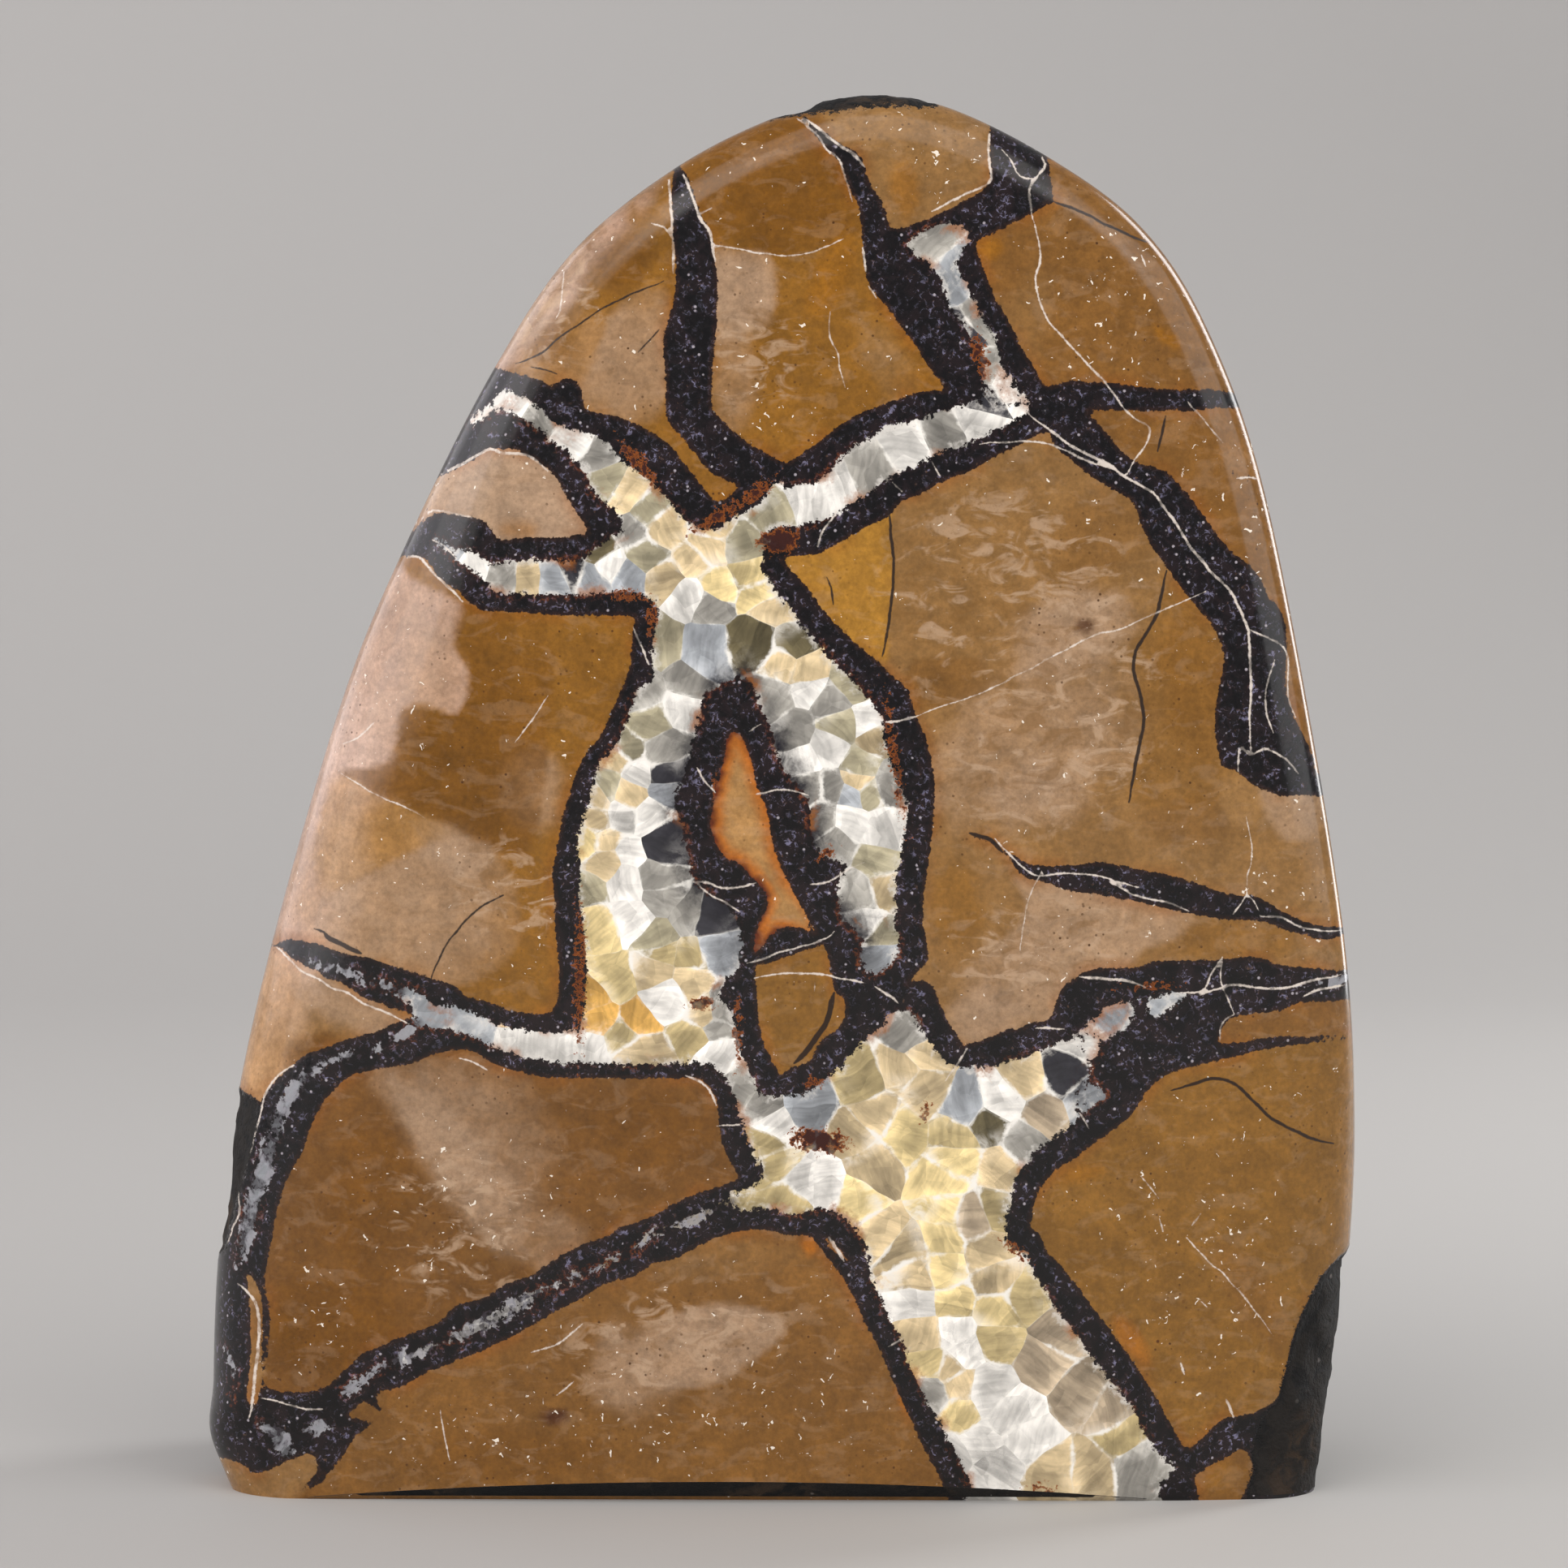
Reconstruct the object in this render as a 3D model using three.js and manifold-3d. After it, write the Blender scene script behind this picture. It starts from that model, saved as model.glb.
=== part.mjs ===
// Septarian nodule: one solid stone, cut as a standing piece. The front is a polished, gently domed
// face with rolled shoulders, the sides are short and straight, the back is the lumpy natural
// outside of the concretion, and the foot is sawn flat.
// Millimetres, +Z up, polished face towards -Y, origin under the middle of the stone.

import * as THREE from 'three';
import { mergeVertices } from 'three/addons/utils/BufferGeometryUtils.js';
import Module from 'manifold-3d';

// Driving dimensions ------------------------------------------------------------------------------

const CROWN_TO_CROWN = 56; // depth of the stone, front crown to back crown
const FACE_HALF_WIDTH = 60;
const FACE_HALF_HEIGHT = 88;
const FACE_SAG = 3.6; // how far the polished face has fallen back at those distances
const SIDE_Y = -9; // where the straight side ends and the natural back begins
const BACK_FULLNESS = 0.84; // under 1 makes the back squarer than an ellipse
const BACK_BULGE = CROWN_TO_CROWN / 2 - SIDE_Y; // how far the back stands out from the side
const BACK_TAPER = 0.16; // share by which the back thins towards the top and thickens to the foot

// Widest outline of the stone, up the left side, over the top and down the right side. The last
// four points lie under the sawn foot and only lead the outline round.
const OUTLINE = [
  [-61.6, 3.6], [-62, 12], [-61.3, 26.5], [-59, 43.4], [-54.4, 62.8], [-47.1, 86.6],
  [-40.9, 101.3], [-31.2, 120.4], [-22.5, 133.3], [-11.3, 142.3], [-0.1, 147.8], [8.5, 149.7],
  [17, 148.6], [28.2, 143.1], [37.8, 135.9], [44.7, 125.5], [50.9, 108.3], [57, 78],
  [60.3, 56.2], [61.5, 38.3], [61, 23.9], [59.7, 11.7], [57.3, 0],
  [48, -17], [14, -29], [-24, -25], [-52, -10],
];

// Middle that the outline's rings shrink towards.
const HEART = { x: 0, z: 62 };

// Width of the rolled shoulder every 30 degrees round the face, from +X towards +Z. It is broad on
// the left and at the lower right, where the natural outside was never ground away.
const SHOULDER_WIDTHS = [4.5, 4.5, 5, 6, 7, 10.5, 13, 11.5, 6, 4, 5, 11];
const SHOULDER_DROP = 0.72; // depth of the shoulder over its width

// Swellings (+) and hollows (-) of the natural back: x, z, radius, height.
const LUMPS = [
  [-24, 96, 22, 3.6], [21, 112, 20, 3.2], [-4, 70, 17, -2.6], [30, 72, 19, 3.4],
  [-36, 50, 18, 2.8], [8, 34, 21, 3], [38, 26, 15, 2.2], [-20, 14, 17, -2.4],
  [-2, 128, 13, -2.2], [44, 96, 10, -1.8], [-44, 78, 9, -1.8], [16, 88, 7, -1.6],
  [-14, 46, 8, 1.5], [-47, 22, 11, 1.8], [24, 8, 9, -1.5], [2, 104, 7, 1.3],
];

// Shallow dents round the side: x, z, radius, depth towards the heart.
const DENTS = [
  [-58, 36, 11, 1.1], [-45, 92, 13, 1.3], [-8, 145, 10, 0.9], [40, 133, 11, 1.2],
  [57, 82, 13, 1.2], [61, 30, 12, 1],
];

const FOOT_CHAMFER = 2.2; // height of the ground edge under the polished face
const CHAMFER_TAPER = THREE.MathUtils.degToRad(0.7); // it runs out towards the right

// Mesh fineness
const AROUND = 132;
const BACK_ROWS = 13;
const SIDE_ROWS = 4;
const SHOULDER_ROWS = 5;
const FACE_ROWS = 7;
const ROWS = BACK_ROWS + SIDE_ROWS + SHOULDER_ROWS + FACE_ROWS;

// Shape of the surface ----------------------------------------------------------------------------

const outline = new THREE.CatmullRomCurve3(
  OUTLINE.map(([x, z]) => new THREE.Vector3(x, 0, z)), true, 'catmullrom', 0.5,
);

// Shoulder width in the direction of an angle, eased from one listed width to the next.
function shoulderWidth(angle) {
  const count = SHOULDER_WIDTHS.length;
  const place = THREE.MathUtils.euclideanModulo((angle / (2 * Math.PI)) * count, count);
  const from = Math.floor(place);
  const ease = (1 - Math.cos(Math.PI * (place - from))) / 2;
  return THREE.MathUtils.lerp(SHOULDER_WIDTHS[from], SHOULDER_WIDTHS[(from + 1) % count], ease);
}

// Depth of the domed face at a point, before its shoulder.
function faceY(x, z) {
  const across = (x - HEART.x) / FACE_HALF_WIDTH;
  const up = (z - HEART.z) / FACE_HALF_HEIGHT;
  return -CROWN_TO_CROWN / 2 + FACE_SAG * (across * across + up * up);
}

// Sum of round bumps at a point, each falling off smoothly with distance.
function bumps(list, x, z) {
  return list.reduce((sum, [bx, bz, radius, height]) => {
    const far = ((x - bx) ** 2 + (z - bz) ** 2) / radius ** 2;
    return sum + height * Math.exp(-2 * far);
  }, 0);
}

// Point of the surface on a row (0 is the back crown, ROWS the front crown) in the direction of an
// outline point.
function surfacePoint(row, edge) {
  const reach = Math.hypot(edge.x - HEART.x, edge.z - HEART.z);
  const shoulder = shoulderWidth(Math.atan2(edge.z - HEART.z, edge.x - HEART.x));
  const rimY = faceY(edge.x, edge.z) + SHOULDER_DROP * shoulder;
  const at = (radius) => [
    HEART.x + ((edge.x - HEART.x) * radius) / reach,
    HEART.z + ((edge.z - HEART.z) * radius) / reach,
  ];

  if (row <= BACK_ROWS) {
    const turn = (Math.PI / 2) * (row / BACK_ROWS);
    const [x, z] = at(reach * Math.sin(turn) ** BACK_FULLNESS);
    const rise = Math.max(Math.cos(turn), 0) ** BACK_FULLNESS;
    const taper = 1 - (BACK_TAPER * (z - HEART.z)) / FACE_HALF_HEIGHT;
    return [x, SIDE_Y + rise * (taper * BACK_BULGE + bumps(LUMPS, x, z)), z];
  }
  if (row < BACK_ROWS + SIDE_ROWS) {
    const forward = (row - BACK_ROWS) / SIDE_ROWS;
    const dent = bumps(DENTS, edge.x, edge.z) * Math.sin(Math.PI * forward);
    const [x, z] = at(reach - dent);
    return [x, THREE.MathUtils.lerp(SIDE_Y, rimY, forward), z];
  }
  if (row < BACK_ROWS + SIDE_ROWS + SHOULDER_ROWS) {
    const turn = (Math.PI / 2) * ((row - BACK_ROWS - SIDE_ROWS) / SHOULDER_ROWS);
    const [x, z] = at(reach - shoulder + shoulder * Math.cos(turn));
    return [x, faceY(x, z) + SHOULDER_DROP * shoulder * (1 - Math.sin(turn)), z];
  }
  const inward = (row - BACK_ROWS - SIDE_ROWS - SHOULDER_ROWS) / FACE_ROWS;
  const [x, z] = at((reach - shoulder) * (1 - inward));
  return [x, faceY(x, z), z];
}

// A ball with its poles at the back and front crowns, whose rings take the shape of the stone.
function stoneSkin() {
  const skin = new THREE.SphereGeometry(1, AROUND, ROWS);
  const { position, uv } = skin.attributes;
  for (let i = 0; i < position.count; i += 1) {
    const row = Math.round((1 - uv.getY(i)) * ROWS);
    const edge = outline.getPointAt(THREE.MathUtils.euclideanModulo(uv.getX(i), 1));
    position.setXYZ(i, ...surfacePoint(row, edge));
  }
  return skin;
}

// Solids ------------------------------------------------------------------------------------------

const wasm = await Module();
wasm.setup();

// Closed solid from a geometry whose shared points have been merged.
function toSolid(geometry) {
  const bare = geometry.clone();
  bare.deleteAttribute('normal');
  bare.deleteAttribute('uv');
  const merged = mergeVertices(bare, 1e-4);
  return new wasm.Manifold(new wasm.Mesh({
    numProp: 3,
    vertProperties: new Float32Array(merged.attributes.position.array),
    triVerts: new Uint32Array(merged.index.array),
  }));
}

function toGeometry(solid) {
  const { vertProperties, triVerts } = solid.getMesh();
  const geometry = new THREE.BufferGeometry();
  geometry.setAttribute('position', new THREE.BufferAttribute(new Float32Array(vertProperties), 3));
  geometry.setIndex(new THREE.BufferAttribute(new Uint32Array(triVerts), 1));
  geometry.computeVertexNormals();
  return geometry;
}

// Block that takes away everything under the sawn foot.
function sawBlock() {
  const size = 200;
  return new THREE.BoxGeometry(size, size, size).translate(0, 0, -size / 2);
}

// Block set at 45 degrees that grinds off the sharp lower edge of the polished face.
function chamferBlock() {
  const size = 160;
  const cut = FOOT_CHAMFER / 2;
  return new THREE.BoxGeometry(size, size, size)
    .translate(0, 0, -size / 2)
    .rotateX(-Math.PI / 4)
    .rotateY(CHAMFER_TAPER)
    .translate(0, faceY(0, 0) + cut, cut);
}

function nodule() {
  const stone = toSolid(stoneSkin()).subtract(toSolid(sawBlock())).subtract(toSolid(chamferBlock()));
  const geometry = toGeometry(stone);
  geometry.computeBoundingBox();
  const middle = geometry.boundingBox.getCenter(new THREE.Vector3());
  geometry.translate(-middle.x, -middle.y, -geometry.boundingBox.min.z);
  const polishedStone = new THREE.MeshStandardMaterial({
    color: 0x93693a, roughness: 0.22, metalness: 0,
  });
  const mesh = new THREE.Mesh(geometry, polishedStone);
  mesh.name = 'nodule';
  return mesh;
}

const group = new THREE.Group();
group.add(nodule());

export default group;
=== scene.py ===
"""Septarian nodule: a concretion of ochre limestone whose shrinkage cracks are lined with dark calcite and
filled with pale calcite crystals. It is cut and polished on the front, natural at the back, sawn flat below.

The pattern is drawn in millimetres on the front of the stone: x to the right, z up from the foot.
"""

import math

import bmesh
import bpy
import numpy as np
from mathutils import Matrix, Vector, geometry, kdtree, noise


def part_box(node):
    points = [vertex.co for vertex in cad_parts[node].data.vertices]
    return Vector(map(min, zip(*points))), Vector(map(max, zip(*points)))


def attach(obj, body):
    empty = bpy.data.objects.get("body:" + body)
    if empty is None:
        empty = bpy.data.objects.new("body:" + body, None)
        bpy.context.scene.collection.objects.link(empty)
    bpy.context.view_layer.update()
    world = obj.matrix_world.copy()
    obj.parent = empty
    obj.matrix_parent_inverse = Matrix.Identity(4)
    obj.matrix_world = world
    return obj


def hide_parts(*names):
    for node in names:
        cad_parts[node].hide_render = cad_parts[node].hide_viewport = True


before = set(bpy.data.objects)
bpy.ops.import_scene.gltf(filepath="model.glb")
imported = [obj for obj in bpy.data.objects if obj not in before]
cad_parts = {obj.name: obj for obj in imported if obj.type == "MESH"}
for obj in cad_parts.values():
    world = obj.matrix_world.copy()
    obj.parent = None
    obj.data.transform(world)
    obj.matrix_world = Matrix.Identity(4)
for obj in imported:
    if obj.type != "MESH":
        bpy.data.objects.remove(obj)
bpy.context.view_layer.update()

bl_info = {
    "name": "Septarian nodule",
    "version": (1, 0, 0),
    "blender": (4, 5, 0),
    "location": "3D View > Sidebar > Nodule",
    "description": "Builds a polished standing septarian nodule and a small studio for it",
    "category": "Object",
}

MM = 0.001  # one millimetre in metres

# Form of the stone ------------------------------------------------------------------------------------------

CROWN_TO_CROWN = 56.0  # depth of the stone, front crown to back crown
FACE_HALF_WIDTH = 60.0
FACE_HALF_HEIGHT = 88.0
FACE_SAG = 3.6  # how far the polished face has fallen back at those distances
SIDE_Y = -9.0  # where the straight side ends and the natural back begins
BACK_FULLNESS = 0.84  # under 1 makes the back squarer than an ellipse
BACK_BULGE = CROWN_TO_CROWN / 2 - SIDE_Y
BACK_TAPER = 0.16  # share by which the back thins towards the top and thickens to the foot
HEART = np.array([0.0, 62.0])  # middle that the outline's rings shrink towards
SHOULDER_WIDTHS = np.array([4.5, 4.5, 5, 6, 7, 10.5, 13, 11.5, 6, 4, 5, 11])  # every 30 degrees from +X
SHOULDER_DROP = 0.72  # depth of the shoulder over its width
FOOT_CHAMFER = 2.2  # height of the ground edge under the polished face
CHAMFER_TAPER = math.radians(0.7)

# Widest outline, up the left side, over the top and down the right side, then round under the sawn foot.
OUTLINE = [
    (-61.6, 3.6), (-62, 12), (-61.3, 26.5), (-59, 43.4), (-54.4, 62.8), (-47.1, 86.6), (-40.9, 101.3),
    (-31.2, 120.4), (-22.5, 133.3), (-11.3, 142.3), (-0.1, 147.8), (8.5, 149.7), (17, 148.6), (28.2, 143.1),
    (37.8, 135.9), (44.7, 125.5), (50.9, 108.3), (57, 78), (60.3, 56.2), (61.5, 38.3), (61, 23.9),
    (59.7, 11.7), (57.3, 0), (48, -17), (14, -29), (-24, -25), (-52, -10),
]

# Swellings and hollows of the natural back: x, z, radius, height.
LUMPS = [
    (-24, 96, 22, 3.6), (21, 112, 20, 3.2), (-4, 70, 17, -2.6), (30, 72, 19, 3.4), (-36, 50, 18, 2.8),
    (8, 34, 21, 3), (38, 26, 15, 2.2), (-20, 14, 17, -2.4), (-2, 128, 13, -2.2), (44, 96, 10, -1.8),
    (-44, 78, 9, -1.8), (16, 88, 7, -1.6), (-14, 46, 8, 1.5), (-47, 22, 11, 1.8), (24, 8, 9, -1.5),
    (2, 104, 7, 1.3),
]
# Dents of the side: x, z, radius, depth.
DENTS = [
    (-58, 36, 11, 1.1), (-45, 92, 13, 1.3), (-8, 145, 10, 0.9), (40, 133, 11, 1.2), (57, 82, 13, 1.2),
    (61, 30, 12, 1),
]

# Limestone blocks between the cracks: tone, then outline. Points past the stone's edge only close a block.
BLOCKS = {
    "crown_left": ("ochre", [
        (-12.2, 143.5), (-12, 139), (-11.8, 136), (-11.5, 131), (-11.7, 127.8), (-12.5, 125.3), (-12.8, 123),
        (-12.5, 119.5), (-12.6, 116.5), (-12, 114.8), (-10.4, 113), (-8, 110), (-6.5, 109.2), (-5, 108.5),
        (-5.6, 107.6), (-7.2, 106.8), (-9.3, 109.2), (-11.2, 111.6), (-12.6, 113.2), (-15, 114.6),
        (-17.2, 115.6), (-19.5, 116.1), (-21, 116.6), (-21.4, 118.6), (-22.3, 119.6), (-23.7, 119.6),
        (-24.5, 118.9), (-25.7, 119.6), (-28, 120.2), (-31.5, 121.3), (-36, 124), (-30, 140), (-18, 146),
    ]),
    "crown_mid": ("ochre", [
        (-10.9, 143.5), (-10.2, 140.8), (-9.3, 138.2), (-8.6, 136.4), (-7.8, 134.8), (-7.4, 132.5),
        (-7.1, 130), (-7.1, 127), (-7.3, 124), (-7.6, 121), (-7.7, 118), (-7.6, 116.5), (-6.7, 115.5),
        (-5.2, 114), (-3.6, 112.8), (-1.8, 111.8), (-0.3, 111), (0.5, 111), (2, 112), (3.6, 113.1),
        (5, 114.2), (6.3, 115.2), (8, 116.1), (10, 116.9), (12, 117.6), (14, 118.3), (15.5, 118.5),
        (17, 118.6), (15.8, 120), (14.3, 122.3), (12.4, 125), (10.5, 127.5), (9.2, 129), (8.7, 130),
        (8.3, 132), (8.1, 134.5), (8, 136.5), (7.6, 138), (6.8, 139.8), (6.2, 141.3), (5.7, 142.6),
        (4.6, 143.5), (3.6, 144.8), (2.6, 146), (1.8, 147.2), (1.2, 150), (-6, 148),
    ]),
    "crown_right": ("tan", [
        (2.2, 150), (2.3, 147.2), (3.2, 146.3), (4.6, 145.3), (6, 144.3), (7.5, 143.6), (8.3, 142.3),
        (8.9, 140.2), (9.9, 138.8), (10.7, 136.9), (11, 135.8), (11.9, 135.4), (13.2, 135.8), (15, 136.5),
        (17, 137.4), (19, 138.5), (20.8, 139.4), (21.6, 140.5), (21.7, 142.5), (21.6, 144.5), (21.8, 148),
        (22, 152), (10, 153),
    ]),
    "right_shoulder": ("umber", [
        (27.7, 145), (27.9, 143), (28, 141), (28.3, 138.5), (27.5, 138), (26.3, 137.2), (25.2, 136.6),
        (23.5, 135.8), (21.8, 134.9), (20.2, 134.1), (20.1, 133.3), (20.8, 131.6), (21.5, 129.8), (22.2, 128),
        (23.3, 126.3), (24.3, 124.3), (25.2, 122.5), (26.2, 121), (27, 119.5), (27.6, 118.9), (29, 119.2),
        (30.2, 119.5), (33, 119.3), (36, 119.1), (38.5, 118.7), (42, 118.6), (45, 118.6), (47.5, 118.3),
        (50, 118), (60, 122), (50, 140), (36, 148),
    ]),
    "right_mid": ("umber", [
        (52, 117), (48.5, 116.7), (45.5, 116.6), (43, 116.3), (41, 116.4), (38, 116.3), (35, 116.4),
        (32, 116.3), (33, 115.1), (34.6, 113.2), (35.8, 111.8), (37.2, 110.9), (38.7, 110.5), (40.4, 109.8),
        (41.6, 108.6), (43.1, 106.9), (44.5, 105), (46, 102.8), (47.7, 101.1), (49.5, 99.7), (50.6, 98.2),
        (51.1, 96.8), (52.3, 95.6), (53, 94.1), (53.3, 91.4), (53, 88), (53.5, 85.3), (54.2, 83.5),
        (55.3, 81.5), (56.3, 79.5), (57.2, 77.6), (66, 78), (60, 110),
    ]),
    "great_right": ("tan", [
        (27.6, 114.2), (28.3, 112.7), (30, 111.3), (32.2, 109.5), (34.3, 108.2), (36.4, 107), (37.2, 105.7),
        (37.7, 104.1), (38.7, 102.1), (39.9, 100.5), (40.9, 99), (42, 97.4), (43.4, 95.8), (44.6, 94.4),
        (45.6, 93), (46.3, 91.2), (46.5, 89.8), (46, 87.4), (45.6, 85), (45.5, 82.5), (45.9, 80.2),
        (46.3, 78.7), (47.5, 78.4), (48.4, 77.7), (49.6, 76.8), (51.1, 76.1), (52.6, 75.6), (55.3, 75.7),
        (57, 75.4), (66, 75), (66, 61.4), (59.2, 61.5), (57, 61.7), (54.9, 62.4), (53.2, 63.2), (51.5, 64.1),
        (49.9, 65), (47.8, 65.1), (45.8, 65.6), (43.4, 66.5), (41, 67.2), (38.1, 67.8), (35.8, 68.3),
        (33.2, 68.7), (31, 68.5), (28, 68.3), (25.8, 68.6), (24.7, 69.2), (23, 70.2), (21.5, 71.3),
        (19.5, 71.5), (21.8, 70.8), (22.9, 70), (24.1, 68.7), (25.1, 67.3), (26.6, 66.8), (28.1, 66.4),
        (30.1, 65.6), (32.6, 65.4), (34.9, 64.9), (37.9, 64.4), (40.5, 63.7), (43.1, 63.2), (45.2, 62.8),
        (47.2, 62.5), (49.3, 62.4), (51.4, 62.1), (53.2, 61.3), (55.2, 60.8), (57.6, 60.2), (59.3, 60.5),
        (66, 60.2), (66, 56.6), (59.5, 56.8), (56.7, 57.2), (54.6, 57.4), (52.6, 57.6), (51.1, 58.2),
        (49.3, 58.5), (47.2, 58.4), (45.1, 58.2), (42.2, 58.2), (40.2, 58.2), (38.7, 58), (37.2, 57.5),
        (35.2, 57.5), (33.2, 57.4), (31.7, 57.1), (30.8, 56.4), (29.8, 55.8), (29, 54.8), (28.5, 53.3),
        (27.9, 52), (26, 51.7), (25.1, 51.1), (23.5, 51), (21.8, 50.2), (20, 49.6), (18.7, 49.3),
        (18.5, 49.9), (17.8, 51.1), (17, 52.5), (16.1, 54.6), (15.5, 55.8), (14, 56.2), (12.9, 55.8),
        (13.8, 56.9), (14.6, 57.8), (15.2, 58.4), (15.1, 59.8), (14.8, 61.3), (14.6, 62.8), (14.7, 65),
        (15.1, 68.3), (15.4, 70.6), (15.8, 75), (15.8, 77), (15.5, 79.3), (15.1, 81.1), (14.5, 82.8),
        (13.7, 84.4), (13.3, 86), (12.6, 87.5), (11.4, 88.3), (10.1, 89.7), (8.4, 91.1), (6.6, 92.7),
        (4.9, 94.4), (3.6, 96), (2.3, 97.9), (0.5, 99.7), (-0.2, 100.7), (0.7, 101), (3, 101.2), (4.4, 101.7),
        (6.3, 102.7), (8.2, 103.9), (10.3, 104.9), (11.3, 105.6), (12.3, 106.8), (14.3, 107.6), (16.9, 109),
        (19.3, 109.9), (22, 111.4), (25, 112.9),
    ]),
    "lower_right": ("russet", [
        (66, 49.7), (60, 49.5), (56.8, 49.3), (53.8, 49), (50.8, 48.6), (48.7, 48.1), (46.6, 47.6),
        (44.3, 47.1), (41.9, 46.5), (40.5, 46), (39.3, 45.2), (38.4, 44.2), (37.6, 42.9), (36.4, 41.4),
        (34.6, 40), (32.6, 38.6), (30, 36.7), (28.8, 36), (27.8, 34.9), (26.9, 33.7), (26.5, 32.3),
        (26.1, 30), (27.1, 28.9), (27.9, 27.2), (29.4, 25.6), (30.9, 23.7), (32.7, 21.3), (34.2, 19.2),
        (35.7, 17.2), (37.1, 15.3), (38.6, 12.9), (39.8, 11.1), (40.7, 9.3), (41.9, 7.2), (43, 5.6),
        (44.5, 6.7), (45.7, 7.9), (46.9, 8.9), (48.4, 9.1), (49.9, 9.4), (51.4, 10.1), (52.7, 10.9),
        (53.2, 12.4), (53.7, 14.5), (54.2, 17), (55.3, 20), (56.6, 22.3), (57.7, 24), (60, 25.8), (66, 28),
    ]),
    "right_sliver": ("umber", [
        (66, 53.6), (60, 53.6), (56.4, 53.7), (54.6, 53.5), (53.1, 52.9), (51.1, 52.6), (49, 52.4),
        (47.4, 52), (46.6, 51.3), (46.2, 50.2), (46.1, 49.4), (48.1, 49.4), (50.2, 49.7), (52.3, 50),
        (54.9, 50), (57, 49.95), (60, 49.9), (66, 49.9),
    ]),
    "foot_chip": ("umber", [
        (43.8, 2.7), (44.8, 3.3), (46, 4.1), (47.5, 4.8), (48.8, 5.5), (49.7, 4.7), (50.2, 3.3), (49.7, 1.8),
        (49, 0.3), (48, -2), (45, -2), (44.1, 1.5),
    ]),
    "bottom": ("umber", [
        (-49.5, 1.9), (-48.3, 3.5), (-47.1, 5), (-46.1, 6.7), (-45, 7.7), (-44.1, 8.6), (-46.5, 9),
        (-46.1, 9.9), (-44.8, 10.7), (-43, 9.6), (-43.7, 11.6), (-42, 12.1), (-40, 12.9), (-38.1, 14.1),
        (-36.4, 14.7), (-34.4, 15.6), (-32.3, 16.4), (-30.3, 17.4), (-28.5, 18.3), (-26.7, 19.4), (-25, 20.4),
        (-23.2, 21.4), (-22, 22), (-20.3, 23.1), (-18.5, 24), (-16.1, 24.6), (-13.8, 26.1), (-11.8, 26.5),
        (-9.7, 27.6), (-7.7, 28.6), (-5.6, 29.3), (-3.3, 29.7), (-1.6, 29.6), (0.2, 29.1), (2.3, 29),
        (3.1, 28.6), (3.9, 27.6), (4.9, 26.1), (5.9, 24.8), (6.9, 23.1), (7.8, 21.4), (8.7, 19.3),
        (9.6, 17.6), (10.3, 16.3), (11, 14.5), (12.2, 11.8), (13.4, 9.2), (14.5, 6.6), (15.7, 4.4),
        (16.7, 2.3), (17.5, 0), (17.5, -3), (-50.5, -3),
    ]),
    "bottom_sliver": ("umber", [(4.4, 28.7), (5.2, 28.3), (6, 27.3), (6.6, 26.3), (5.2, 27.4), (4.5, 28.2)]),
    "left_lower": ("brown", [
        (-46.1, 45.8), (-44.4, 46.4), (-42, 46.8), (-39.6, 47.2), (-37.6, 48.1), (-35.8, 48.6), (-34, 48.8),
        (-32.6, 48.4), (-31.1, 47.4), (-29.6, 46.8), (-27.9, 46.5), (-26.2, 46), (-23.8, 45.8), (-19, 45.8),
        (-13.3, 45.8), (-10.3, 45.9), (-9.2, 45.8), (-8.2, 45.1), (-7.5, 44), (-7, 42.5), (-6.9, 40.5),
        (-6.6, 38.7), (-5.8, 37), (-5, 35.2), (-6.2, 34.6), (-8, 33.9), (-10, 33.3), (-11.8, 32.4),
        (-13.5, 31.4), (-15.6, 30.4), (-17.6, 29.8), (-18.8, 28.9), (-20.6, 28.3), (-22.7, 27.4),
        (-24.4, 26.4), (-27, 24.6), (-28.8, 24), (-30.2, 23.4), (-31.4, 22.5), (-32.6, 21.9), (-34.6, 21.5),
        (-35.8, 20.6), (-37, 19.4), (-40.2, 18.1), (-43.8, 16.5), (-45, 16), (-47, 14.2), (-49, 12.3),
        (-51.8, 11.7), (-55.6, 12.2), (-55.3, 16), (-55, 20), (-55.6, 24), (-55, 27), (-54.4, 30.2),
        (-53.7, 33), (-52.9, 35.1), (-52.3, 36), (-51.4, 37.7), (-50.7, 39.5), (-49.9, 41.5), (-49, 43),
        (-47.8, 44.5),
    ]),
    "left_strip": ("tan", [
        (-57.6, 24.2), (-56.7, 23.5), (-56, 21.8), (-55.9, 18), (-56, 14), (-56.2, 11.5), (-57, 10),
        (-57.6, 11), (-57.3, 14), (-57.2, 18), (-57.3, 21),
    ]),
    "corner_flake": ("tan", [
        (-61.5, 3.2), (-60, 3.6), (-58.4, 3.4), (-57.2, 2.6), (-56.4, 2.5), (-53.5, 4), (-50.7, 5),
        (-50.2, 4), (-50.1, 2.9), (-51.4, 1.6), (-53, -1), (-60, -1), (-63, 1),
    ]),
    "left_mid": ("ochre", [
        (-46, 101), (-41.6, 100.9), (-38.5, 100.9), (-37.6, 100.2), (-37, 99.4), (-35.9, 98.2), (-34.6, 97.5),
        (-33.9, 96.7), (-33.1, 96), (-32, 95.4), (-30.2, 95.2), (-26, 95), (-24, 94.8), (-19.1, 94.8),
        (-16, 94.7), (-15.8, 94.1), (-16, 93), (-16.2, 91), (-16.4, 89.2), (-16.8, 88), (-17.3, 86.9),
        (-18.1, 85.1), (-18.8, 83.4), (-19.5, 82), (-20.6, 80.8), (-21.4, 79.6), (-22, 78.2), (-22.7, 76),
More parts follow.
